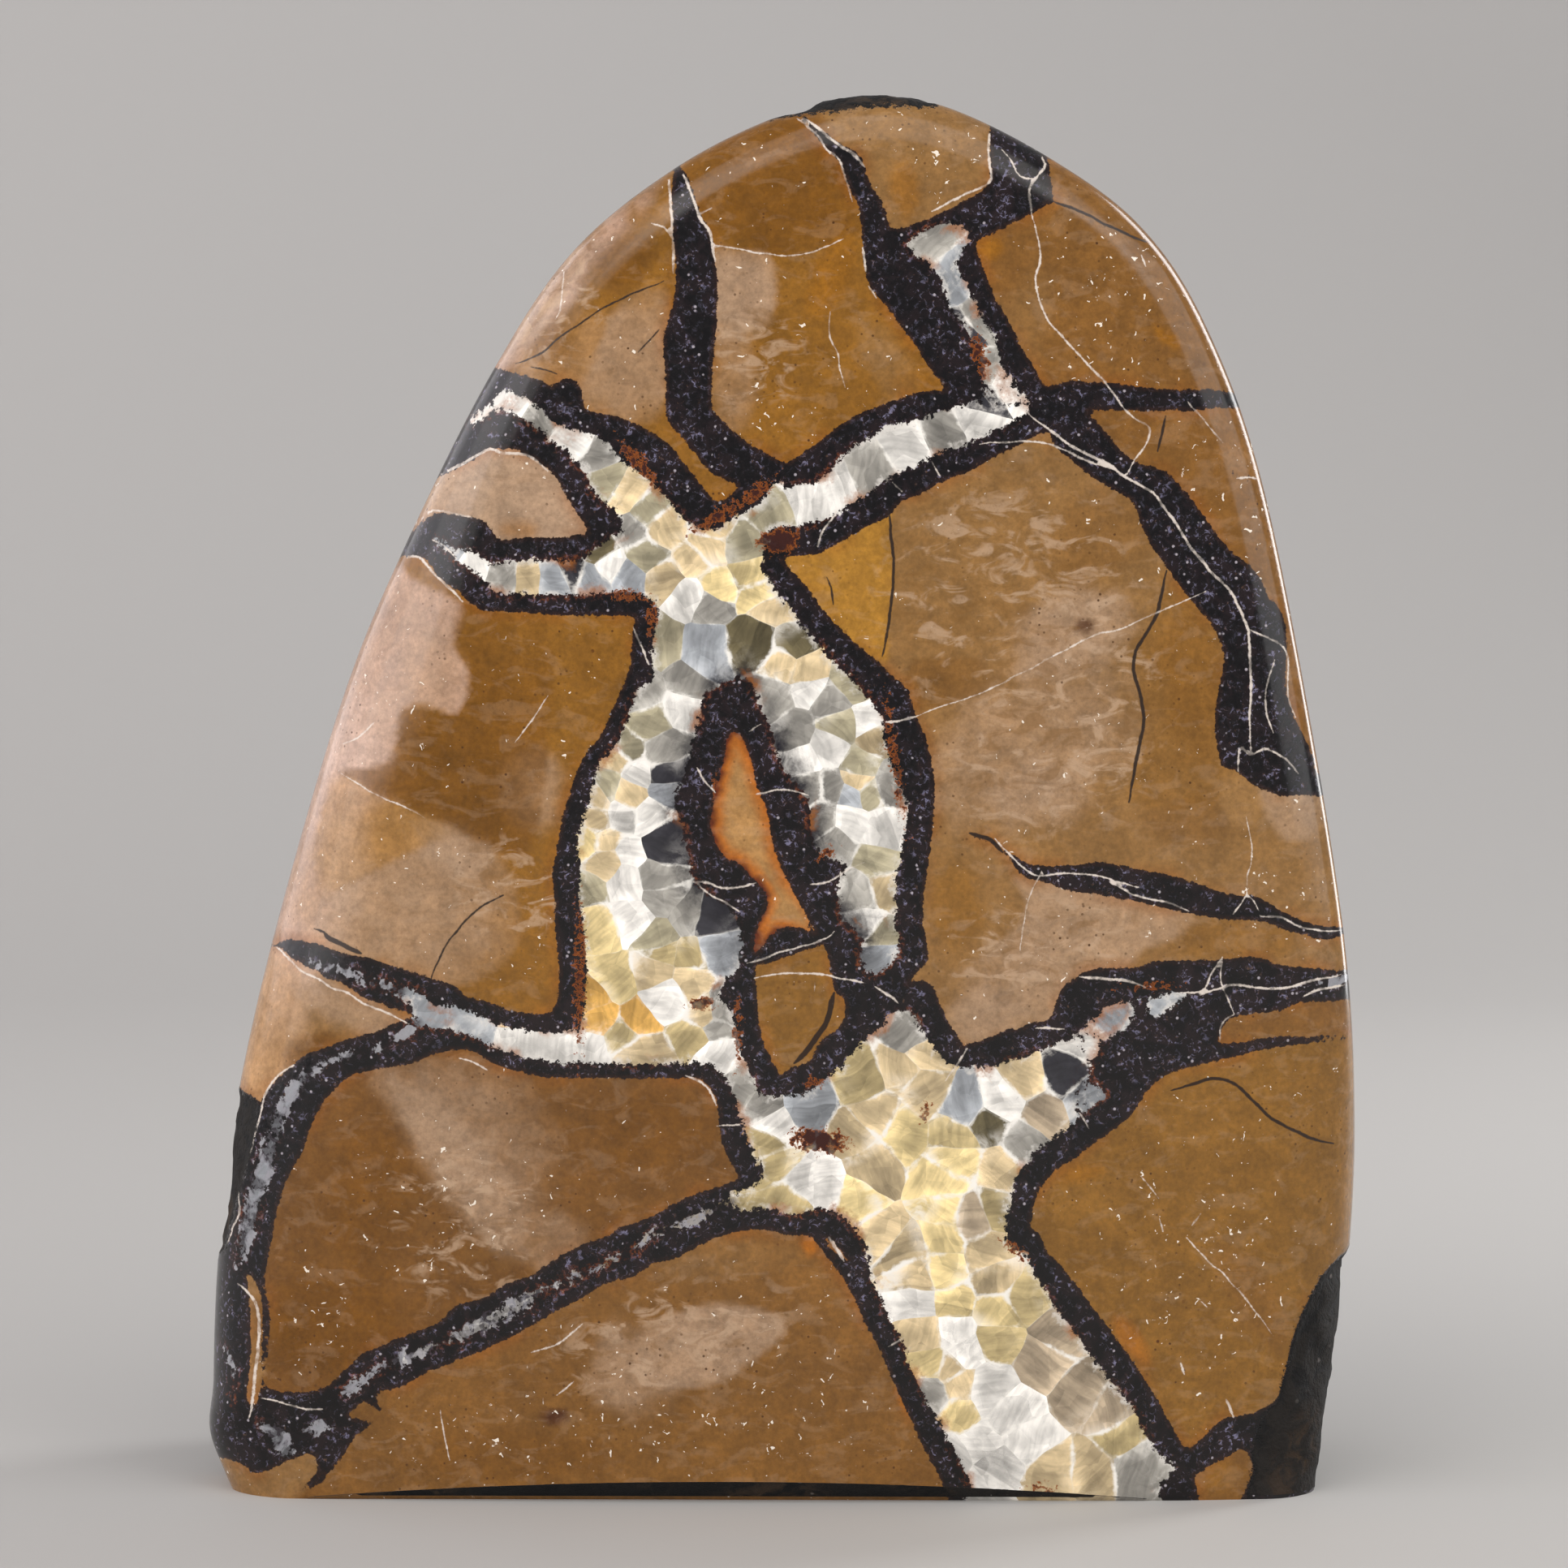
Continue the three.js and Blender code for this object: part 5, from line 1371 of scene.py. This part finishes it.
def roughen_crust(piece, shift, crust, blocks, relief):
    """Moves the natural crust in and out: broad lumps, small ones, and grooves along the cracks."""
    mesh = piece.data
    points = points_of(mesh, shift)
    rough = np.flatnonzero(crust > -0.2)
    normals = fetched(mesh.vertices, "normal")
    some = points[rough]
    move = 0.55 * fractal(some, 8.0, 2.0) + 0.3 * fractal(some, 2.6, 4.0, 2)
    move -= 0.55 * soft_step(0.3, -1.0, blocks[rough])
    move *= soft_step(-0.2, 1.2, crust[rough]) * soft_step(0.0, 2.5, some[:, 2]) * relief / MM
    points[rough] += move[:, None] * normals[rough]
    mesh.vertices.foreach_set("co", ((points + shift) * MM).ravel())
    mesh.update()


# Materials --------------------------------------------------------------------------------------------------

COLOUR, VECTOR, VALUE = 0, 1, 2  # outputs of the node that reads an attribute
OBJECT_PLACE = 3  # output of the node that gives the place on the object

# Brown pits of the limestone: size of a cell, seed, share of cells without a pit, radius in cells, colour.
PITS = ((0.8, 3.0, 0.35, 0.23, "#43250A"), (2.4, 5.0, 0.78, 0.11, "#4E2606"))

# How far the edge of each thing that the stone is made of wavers, in millimetres.
WAVERS = {
    "limestone": 0.2, "calcite": 0.55, "crust": 0.6, "rust": 0.8, "pale_line": 0.09, "dark_line": 0.07,
}
RELIEF_STRENGTH = 0.8
RELIEF_HEIGHT = 0.8 * MM
STONE_IOR = 1.46


def add(tree, kind, inputs=(), output=0, **settings):
    """Adds a node with its settings, sets or links its inputs, and gives one of its outputs."""
    node = tree.nodes.new("ShaderNode" + kind)
    for name, value in settings.items():
        setattr(node, name, value)
    for name, value in inputs.items() if isinstance(inputs, dict) else enumerate(inputs):
        if isinstance(value, bpy.types.NodeSocket):
            tree.links.new(value, node.inputs[name])
        elif value is not None:
            node.inputs[name].default_value = value
    return node.outputs[output]


def read(tree, name, output=VALUE):
    """One of the attributes written on the mesh."""
    return add(tree, "Attribute", output=output, attribute_name=name)


def parts(tree, kind, value):
    """The three parts of a colour (Color) or of a vector (XYZ)."""
    return add(tree, "Separate" + kind, (value,)).node.outputs[:3]


def times(tree, *factors):
    """Product of numbers or outputs."""
    product = factors[0]
    for factor in factors[1:]:
        product = add(tree, "Math", (product, factor), operation="MULTIPLY")
    return product


def plus(tree, first, second):
    """Sum of two numbers or outputs."""
    return add(tree, "Math", (first, second), operation="ADD")


def above(tree, value, limit):
    """1 where the value is greater than the limit, else 0."""
    return add(tree, "Math", (value, limit), operation="GREATER_THAN")


def scaled(tree, vector, scale):
    """A vector or colour times a number or output."""
    return add(tree, "VectorMath", {0: vector, "Scale": scale}, operation="SCALE")


def stretched(tree, vector, by):
    """A vector with each of its three parts times its own number."""
    return add(tree, "VectorMath", (vector, by), operation="MULTIPLY")


def blend(tree, share, under, over):
    """Colour that goes from one to the other as the share rises."""
    colours = [linear(each) if isinstance(each, str) else each for each in (under, over)]
    return add(tree, "Mix", {0: share, 6: colours[0], 7: colours[1]}, 2, data_type="RGBA")


def ramp(tree, value, low, high, start=0.0, end=1.0):
    """Goes straight from start at low to end at high."""
    return add(tree, "MapRange", (value, low, high, start, end))


def rise(tree, value, low, high, start=0.0, end=1.0):
    """Goes smoothly from start at low to end at high."""
    return add(tree, "MapRange", (value, low, high, start, end), interpolation_type="SMOOTHSTEP")


def cloudy(tree, place, size, detail, roughness, distortion=0.0):
    """Noise from 0 to 1 whose clouds are about a size."""
    settings = {"Scale": 1 / size, "Detail": detail, "Roughness": roughness, "Distortion": distortion}
    return add(tree, "TexNoise", {"Vector": place, **settings})


def grains(tree, place, size, seed=0.0):
    """Cells of about a size: distance from the cell's middle, and three chances that each cell draws."""
    shifted = add(tree, "VectorMath", (place, (seed, seed, seed)), operation="ADD")
    distance = add(tree, "TexVoronoi", {"Vector": shifted, "Scale": 1 / size})
    return distance, parts(tree, "Color", distance.node.outputs["Color"])


def limestone(tree, place, noises, finish):
    """Dense fine-grained limestone: cloudy, with pale and brown wisps, brown pits and white chips."""
    wisps, fine, broad = noises
    wispy, flecked = read(tree, "wispy"), read(tree, "flecked")
    light = times(tree, rise(tree, wisps, 0.3, 0.7, 0.87, 1.12), rise(tree, fine, 0.25, 0.75, 0.84, 1.18))
    colour = scaled(tree, read(tree, "stone_tint", COLOUR), light)
    swirl = cloudy(tree, stretched(tree, place, (0.5, 1.0, 1.0)), 2.0, 3, 0.6, 0.9)
    pale = times(tree, rise(tree, swirl, 0.5, 0.66), rise(tree, wispy, 0.0, 1.0, 0.12, 0.6))
    pale = times(tree, pale, rise(tree, fine, 0.3, 0.5, 0.6, 1.0))
    colour = blend(tree, pale, colour, "#C0A284")
    brown = times(tree, rise(tree, swirl, 0.46, 0.34), rise(tree, wispy, 0.0, 1.0, 0.15, 0.4))
    colour = blend(tree, brown, colour, "#7A5424")
    clustered = times(tree, rise(tree, broad, -0.15, 0.35, 0.15, 1.0), rise(tree, wisps, 0.4, 0.6, 0.25, 1.0))
    for size, seed, bare, radius, code in PITS:
        distance, chances = grains(tree, place, size, seed)
        dark = rise(tree, distance, radius, radius * 0.5, 0.0, 0.9)
        pit = times(tree, above(tree, chances[0], bare), dark, clustered)
        pit = times(tree, pit, rise(tree, chances[1], 0.0, 0.6, 0.3, 1.0))
        colour = blend(tree, pit, colour, code)
    chips = cloudy(tree, place, 0.8, 2, 0.6, 0.7)
    gathered = plus(tree, times(tree, flecked, 0.042), times(tree, swirl, 0.08))
    white = rise(tree, plus(tree, chips, gathered), 0.755, 0.785, 0.0, 0.9)
    colour = blend(tree, white, colour, "#F6EBDA")
    return colour, rise(tree, wisps, 0.3, 0.7, finish.polish, finish.polish + 0.06)


def lining(tree, place, edge, core, noises, finish):
    """Dark fibrous calcite that lines the cracks: near black, with violet grey streaks and rusty margins."""
    wisps, fine, broad = noises
    distance, chances = grains(tree, place, 0.42)
    grit = cloudy(tree, place, 0.6, 3, 0.7, 0.8)
    colour = blend(tree, rise(tree, wisps, 0.4, 0.66), "#080506", "#1E1416")
    streaks = times(tree, rise(tree, grit, 0.54, 0.66), rise(tree, wisps, 0.4, 0.62, 0.12, 0.95))
    colour = blend(tree, streaks, colour, blend(tree, rise(tree, fine, 0.42, 0.58), "#58402F", "#77748E"))
    glint = times(tree, above(tree, chances[2], 0.975), rise(tree, distance, 0.5, 0.2))
    colour = blend(tree, times(tree, glint, 0.7), colour, "#C0B8C0")
    margin = times(tree, rise(tree, edge, -0.6, -0.05), rise(tree, fine, 0.35, 0.6, 0.3, 0.8))
    colour = blend(tree, margin, colour, "#2C160B")
    rust = times(tree, rise(tree, core, -0.8, -0.05), rise(tree, grit, 0.4, 0.56, 0.1, 1.0))
    rust = times(tree, rust, rise(tree, broad, -0.15, 0.4, 0.05, 0.85))
    colour = blend(tree, rust, colour, blend(tree, rise(tree, fine, 0.44, 0.68), "#34120A", "#7A3C0C"))
    return colour, rise(tree, fine, 0.3, 0.7, finish.polish, finish.polish + 0.14)


def crystal_tone_and_shading(tree, grain, border, wisps):
    """Tone of each crystal with its painted shading across its facets, and how milky it is, partly a painted
    highlight: each crystal draws its own chances.
    """
    along, across, number = parts(tree, "XYZ", grain)
    chance = add(tree, "TexWhiteNoise", {"W": number}, 1, noise_dimensions="1D")
    one, two, three = parts(tree, "Color", chance)
    # Painted shading: each crystal is lighter towards one end of its grain, and past a ridge it is painted
    # darker or lighter, as light through the clear crystal and off its inner facets would show.
    past_ridge = add(tree, "Math", (across, ramp(tree, one, 0, 1, -1.3, 1.3)), operation="SUBTRACT")
    painted_facet_shade = times(tree, rise(tree, past_ridge, -0.08, 0.08), ramp(tree, two, 0, 1, -0.36, 0.18))
    light = plus(tree, ramp(tree, along, -2.4, 2.4, 0.76, 1.16), painted_facet_shade)
    shards = grains(tree, grain, 2.1)[1]
    streaks = cloudy(tree, stretched(tree, grain, (0.35, 2.2, 1.0)), 1.25, 2, 0.5)
    light = times(tree, light, rise(tree, streaks, 0.32, 0.66, 0.86, 1.09))
    light = times(tree, light, rise(tree, wisps, 0.3, 0.7, 0.84, 1.12))
    light = times(tree, light, rise(tree, shards[0], 0.1, 0.9, 0.86, 1.1))
    light = times(tree, light, rise(tree, border, 0.1, 1.7, 1.17, 0.85))
    # Milky calcite and painted highlight: some crystals turn whiter towards one end of their grain.
    milk_and_highlight = times(tree, rise(tree, along, 0.2, 2.8), rise(tree, three, 0.2, 0.9, 0.0, 0.85))
    return light, times(tree, milk_and_highlight, rise(tree, wisps, 0.35, 0.6))


def calcite(tree, place, core, noises, finish):
    """Clear to milky calcite: each crystal has its own tone and painted facet shading, with bright seams
    between them.
    """
    wisps, fine, broad = noises
    border, thread, smoky = (read(tree, name) for name in ("border", "thread", "smoky"))
    light, milk_and_highlight = crystal_tone_and_shading(tree, read(tree, "grain", VECTOR), border, wisps)
    # the crystal's tint times its painted shading and its own streaks and tone
    colour = scaled(tree, read(tree, "crystal_tint", COLOUR), light)
    # blended whiter where the crystal is milky, partly a painted highlight
    colour = blend(tree, milk_and_highlight, colour, "#F0ECE4")
    shaded = times(tree, smoky, rise(tree, core, 3.2, -0.1), rise(tree, wisps, 0.62, 0.38, 0.6, 1.0))
    colour = blend(tree, shaded, colour, "#1F1D24")
    specks = grains(tree, place, 0.55, 4.0)[1]
    broken = times(tree, thread, rise(tree, specks[0], 0.2, 0.8, 0.6, 1.0))
    broken = times(tree, broken, rise(tree, core, 0.5, 1.1, 1.0, 0.12))
    colour = blend(tree, broken, colour, blend(tree, rise(tree, wisps, 0.44, 0.6), "#332E33", "#8C8B92"))
    glassy = rise(tree, thread, 0.7, 0.2, 0.15, 1.0)
    width = times(tree, rise(tree, broad, -0.35, 0.35, 0.07, 0.27), rise(tree, fine, 0.3, 0.7, 0.6, 1.3))
    seam = rise(tree, add(tree, "Math", (border, width), operation="DIVIDE"), 1.6, 0.2)
    seam = times(tree, seam, rise(tree, wisps, 0.38, 0.6, 0.15, 0.95))
    seam = times(tree, seam, rise(tree, broad, -0.3, 0.25, 0.2, 1.0), glassy)
    colour = blend(tree, seam, colour, "#F7F3EA")
    bright = times(tree, rise(tree, core, 0.9, 0.1), rise(tree, wisps, 0.45, 0.62, 0.0, 0.7))
    bright = times(tree, bright, rise(tree, smoky, 1.0, 0.0), glassy)
    colour = blend(tree, bright, colour, "#DDD8D0")
    warm = times(tree, rise(tree, core, 1.2, 0.1), rise(tree, broad, 0.15, 0.5, 0.0, 0.7))
    warm = times(tree, warm, rise(tree, thread, 0.6, 0.0))
    colour = blend(tree, warm, colour, "#9A5A1C")
    return colour, rise(tree, wisps, 0.3, 0.7, finish.polish, finish.polish + 0.1)


def natural_crust(tree, place, edge, noises):
    """Unground outside of the concretion: near black, matt and gritty, with clay and a few pale grains."""
    wisps, fine, broad = noises
    colour = blend(tree, rise(tree, fine, 0.3, 0.7), "#020203", "#100E0E")
    clay = times(tree, rise(tree, broad, 0.05, 0.5), rise(tree, wisps, 0.56, 0.4, 0.0, 0.5))
    colour = blend(tree, clay, colour, "#4A3826")
    seam = times(tree, rise(tree, edge, 0.1, -0.8, 0.0, 0.15), rise(tree, wisps, 0.38, 0.56))
    colour = blend(tree, seam, colour, "#4E463E")
    distance, chances = grains(tree, place, 1.3, 7.0)
    grain = times(tree, above(tree, chances[0], 0.95), rise(tree, distance, 0.26, 0.1), chances[1], 0.7)
    colour = blend(tree, grain, colour, "#A8A09A")
    return colour, rise(tree, wisps, 0.3, 0.7, 0.85, 1.0)


def polished_septarian_stone(finish):
    """Polished limestone, dark lining and pale calcite, with the natural crust where it was left."""
    material = bpy.data.materials.new("polished_septarian_stone")
    material.use_nodes = True
    tree = material.node_tree
    tree.nodes.clear()
    place = scaled(tree, add(tree, "TexCoord", output=OBJECT_PLACE), 1 / MM)
    wisps = cloudy(tree, place, 2.3, 4, 0.62, 0.6)
    fine = cloudy(tree, place, 0.6, 3, 0.7)
    broad, small_drift, wide_drift = parts(tree, "XYZ", read(tree, "drift", VECTOR))
    depth = {}
    for name, waver in WAVERS.items():
        depth[name] = plus(tree, read(tree, name), ramp(tree, fine, 0.25, 0.75, -waver, waver))
    edge = depth["limestone"]
    gnawed = times(tree, read(tree, "thread"), rise(tree, wisps, 0.42, 0.62, -0.6, 0.0))
    core = plus(tree, depth["calcite"], gnawed)
    # the crust also covers the ground edge over the foot, where its near-black colour is painted shade
    crusty = ramp(tree, depth["crust"], -0.1, 0.1)
    rusty = times(tree, rise(tree, depth["rust"], -0.1, 0.15), rise(tree, wisps, 0.35, 0.55, 0.75, 1.0))
    rust_colour = blend(tree, rise(tree, depth["rust"], 0.05, 0.5), "#8C480C", "#360F04")
    pale = times(tree, rise(tree, depth["pale_line"], -0.07, 0.07), rise(tree, wisps, 0.36, 0.56, 0.2, 0.9))
    layers = (
        (ramp(tree, core, -0.08, 0.08), *calcite(tree, place, core, (wisps, fine, small_drift), finish)),
        (rusty, rust_colour, 0.3),
        (ramp(tree, edge, -0.05, 0.05), *limestone(tree, place, (wisps, fine, broad), finish)),
        (rise(tree, depth["dark_line"], -0.08, 0.05, 0.0, 0.95), "#1E1008", 0.35),
        (pale, "#E2D6CA", 0.3),
        (crusty, *natural_crust(tree, place, edge, (wisps, fine, wide_drift))),
    )
    colour, rough = lining(tree, place, edge, core, (wisps, fine, broad), finish)
    for share, layer_colour, layer_rough in layers:
        colour = blend(tree, share, colour, layer_colour)
        rough = add(tree, "Mix", {0: share, 2: rough, 3: layer_rough})
    relief = times(tree, plus(tree, wisps, times(tree, fine, 0.4)), crusty)
    normal = add(tree, "Bump", {"Strength": RELIEF_STRENGTH, "Distance": RELIEF_HEIGHT, "Height": relief})
    looks = {"Base Color": colour, "Roughness": rough, "Normal": normal, "IOR": STONE_IOR}
    shader = add(tree, "BsdfPrincipled", looks, distribution="GGX")
    surface = tree.nodes.new("ShaderNodeOutputMaterial")
    tree.links.new(shader, surface.inputs["Surface"])
    return material


# Studio -----------------------------------------------------------------------------------------------------

CAMERA_PLACE = (0.39, -579.95, 110.70)  # in millimetres
CAMERA_PITCH = math.radians(3.5)  # how far the camera looks down
CAMERA_LENS = 120.0
CAMERA_NEAREST = 0.01

WORLD_COLOUR = "#9A9A9E"
STONE_MIDDLE = (0, 0, 0.08)
COOL, WARM, WARMER, WHITE = (0.98, 0.95, 1), (1, 0.97, 0.94), (1, 0.96, 0.91), (1, 1, 1)

# Soft lights: place and aim in metres, width, height, power in watts, colour.
SOFTBOXES = {
    "side_left": ((-1.67, -0.67, 0.82), (0, 0, 0.82), 2.4, 1.1, 15, COOL),
    "side_back": ((-1.15, 0.95, 0.75), (0, 0, 0.75), 1.5, 1.1, 9, COOL),
    "front_left": ((-1.30, -1.25, 0.95), STONE_MIDDLE, 2.4, 1.7, 14.5, WARM),
    "front_top": ((0.1, -0.9, 1.1), STONE_MIDDLE, 1.6, 1.0, 7.8, WARMER),
    "fill_right": ((0.90, -0.60, 0.50), STONE_MIDDLE, 1.2, 0.9, 5.4, WHITE),
    "rim_right": ((0.55, 0.35, 0.30), STONE_MIDDLE, 0.18, 0.7, 3, WHITE),
}

# Floor and backdrop, in metres.
FLOOR_FRONT = -1.6
FLOOR_BACK = 0.5  # where the floor begins to curve up
FLOOR_HALF_WIDTH = 1.6
CURVE_RADIUS = 0.6
CURVE_STEPS = 16
BACKDROP_TOP = 1.6
FLOOR_ROUGHNESS = 0.7


def softbox(name, place, aim, width, height, power, colour):
    """A rectangular soft light that looks at a point."""
    light = bpy.data.lights.new(name, "AREA")
    light.shape = "RECTANGLE"
    light.size, light.size_y = width, height
    light.energy = power
    light.color = colour
    lamp = bpy.data.objects.new(name, light)
    bpy.context.collection.objects.link(lamp)
    lamp.location = place
    lamp.rotation_euler = (Vector(aim) - Vector(place)).to_track_quat("-Z", "Y").to_euler()


def matt_board(colour):
    """Pale studio board: matt, with no pattern to take the eye."""
    material = bpy.data.materials.new("matt_board")
    material.use_nodes = True
    board = material.node_tree.nodes["Principled BSDF"]
    board.inputs["Base Color"].default_value = colour
    board.inputs["Roughness"].default_value = FLOOR_ROUGHNESS
    return material


def sweep(finish):
    """Floor that curves up into a backdrop behind the stone."""
    profile = [(FLOOR_FRONT, 0.0), (FLOOR_BACK, 0.0)]
    for step in range(1, CURVE_STEPS + 1):
        turn = math.pi / 2 * step / CURVE_STEPS
        profile.append((FLOOR_BACK + CURVE_RADIUS * math.sin(turn), CURVE_RADIUS * (1 - math.cos(turn))))
    profile.append((FLOOR_BACK + CURVE_RADIUS, BACKDROP_TOP))
    points = [(side * FLOOR_HALF_WIDTH, y, z) for y, z in profile for side in (-1, 1)]
    faces = [(2 * i, 2 * i + 1, 2 * i + 3, 2 * i + 2) for i in range(len(profile) - 1)]
    mesh = bpy.data.meshes.new("floor")
    mesh.from_pydata(points, [], faces)
    floor = bpy.data.objects.new("floor", mesh)
    bpy.context.collection.objects.link(floor)
    mesh.polygons.foreach_set("use_smooth", [True] * len(faces))
    mesh.materials.append(matt_board(finish.floor_colour))


def light_world(scene):
    """Even light from all round."""
    world = bpy.data.worlds.new("studio")
    scene.world = world
    world.use_nodes = True
    background = world.node_tree.nodes["Background"]
    background.inputs["Color"].default_value = linear(WORLD_COLOUR)
    background.inputs["Strength"].default_value = 1.0


def set_camera(scene):
    """The camera that looks at the polished face."""
    camera = bpy.data.cameras.new("camera")
    camera.lens = CAMERA_LENS
    camera.clip_start = CAMERA_NEAREST
    shot = bpy.data.objects.new("camera", camera)
    bpy.context.collection.objects.link(shot)
    shot.location = Vector(CAMERA_PLACE) * MM
    shot.rotation_euler = (math.pi / 2 - CAMERA_PITCH, 0, 0)
    scene.camera = shot


# Add-on -----------------------------------------------------------------------------------------------------

SMOOTH_BELOW = math.radians(35)  # edges flatter than this are shaded smooth


class NoduleShape(bpy.types.PropertyGroup):
    """How finely the stone is modelled."""

    face_spacing: bpy.props.FloatProperty(
        name="Face spacing", description="Distance between points of the polished face", default=0.68 * MM,
        unit="LENGTH", precision=5,
    )
    rim_spacing: bpy.props.FloatProperty(
        name="Rim spacing", description="Distance between points round the outline", default=0.85 * MM,
        unit="LENGTH", precision=5,
    )
    back_spacing: bpy.props.FloatProperty(
        name="Back spacing", description="Distance between points of the natural back", default=1.4 * MM,
        unit="LENGTH", precision=5,
    )
    crust_relief: bpy.props.FloatProperty(
        name="Crust relief", description="Height of the lumps of the natural crust", default=1.0 * MM,
        unit="LENGTH", precision=5,
    )


class NoduleFinish(bpy.types.PropertyGroup):
    """Finish of the stone and colour of the studio."""

    polish: bpy.props.FloatProperty(
        name="Polish", description="Roughness of the polished face", default=0.13, min=0, max=1,
        subtype="FACTOR",
    )
    floor_colour: bpy.props.FloatVectorProperty(
        name="Floor", description="Colour of the studio floor", default=linear("#B6B4B1"), size=4,
        min=0, max=1, subtype="COLOR",
    )


class NODULE_OT_stone(bpy.types.Operator):
    """Build the septarian nodule in place of its plain solid"""

    bl_idname = "nodule.stone"
    bl_label = "Build stone"

    def execute(self, context):
        shape, finish = context.scene.nodule_shape, context.scene.nodule_finish
        piece, shift = rough_body(shape)
        close_foot(piece, shape.back_spacing / MM)
        crust, blocks = write_pattern(piece, shift)
        roughen_crust(piece, shift, crust, blocks, shape.crust_relief)
        piece.data.materials.append(polished_septarian_stone(finish))
        bpy.ops.object.shade_smooth_by_angle(angle=SMOOTH_BELOW)
        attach(piece, "root")
        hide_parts("nodule")
        return {"FINISHED"}


class NODULE_OT_studio(bpy.types.Operator):
    """Set up the floor, the soft lights and the camera"""

    bl_idname = "nodule.studio"
    bl_label = "Build studio"

    def execute(self, context):
        scene = context.scene
        sweep(scene.nodule_finish)
        for name, settings in SOFTBOXES.items():
            softbox(name, *settings)
        light_world(scene)
        set_camera(scene)
        scene.view_settings.view_transform = "Standard"
        return {"FINISHED"}


class NODULE_PT_panel(bpy.types.Panel):
    """Sizes, finishes and the buttons that build the nodule"""

    bl_label = "Septarian nodule"
    bl_idname = "NODULE_PT_panel"
    bl_space_type = "VIEW_3D"
    bl_region_type = "UI"
    bl_category = "Nodule"

    def draw(self, context):
        for group in (context.scene.nodule_shape, context.scene.nodule_finish):
            for name in group.__annotations__:
                self.layout.prop(group, name)
        self.layout.operator("nodule.stone")
        self.layout.operator("nodule.studio")


CLASSES = (NoduleShape, NoduleFinish, NODULE_OT_stone, NODULE_OT_studio, NODULE_PT_panel)


def register():
    for each in CLASSES:
        bpy.utils.register_class(each)
    bpy.types.Scene.nodule_shape = bpy.props.PointerProperty(type=NoduleShape)
    bpy.types.Scene.nodule_finish = bpy.props.PointerProperty(type=NoduleFinish)


def unregister():
    del bpy.types.Scene.nodule_shape, bpy.types.Scene.nodule_finish
    for each in reversed(CLASSES):
        bpy.utils.unregister_class(each)


def main():
    register()
    bpy.ops.nodule.stone()
    bpy.ops.nodule.studio()


if __name__ == "__main__":
    main()
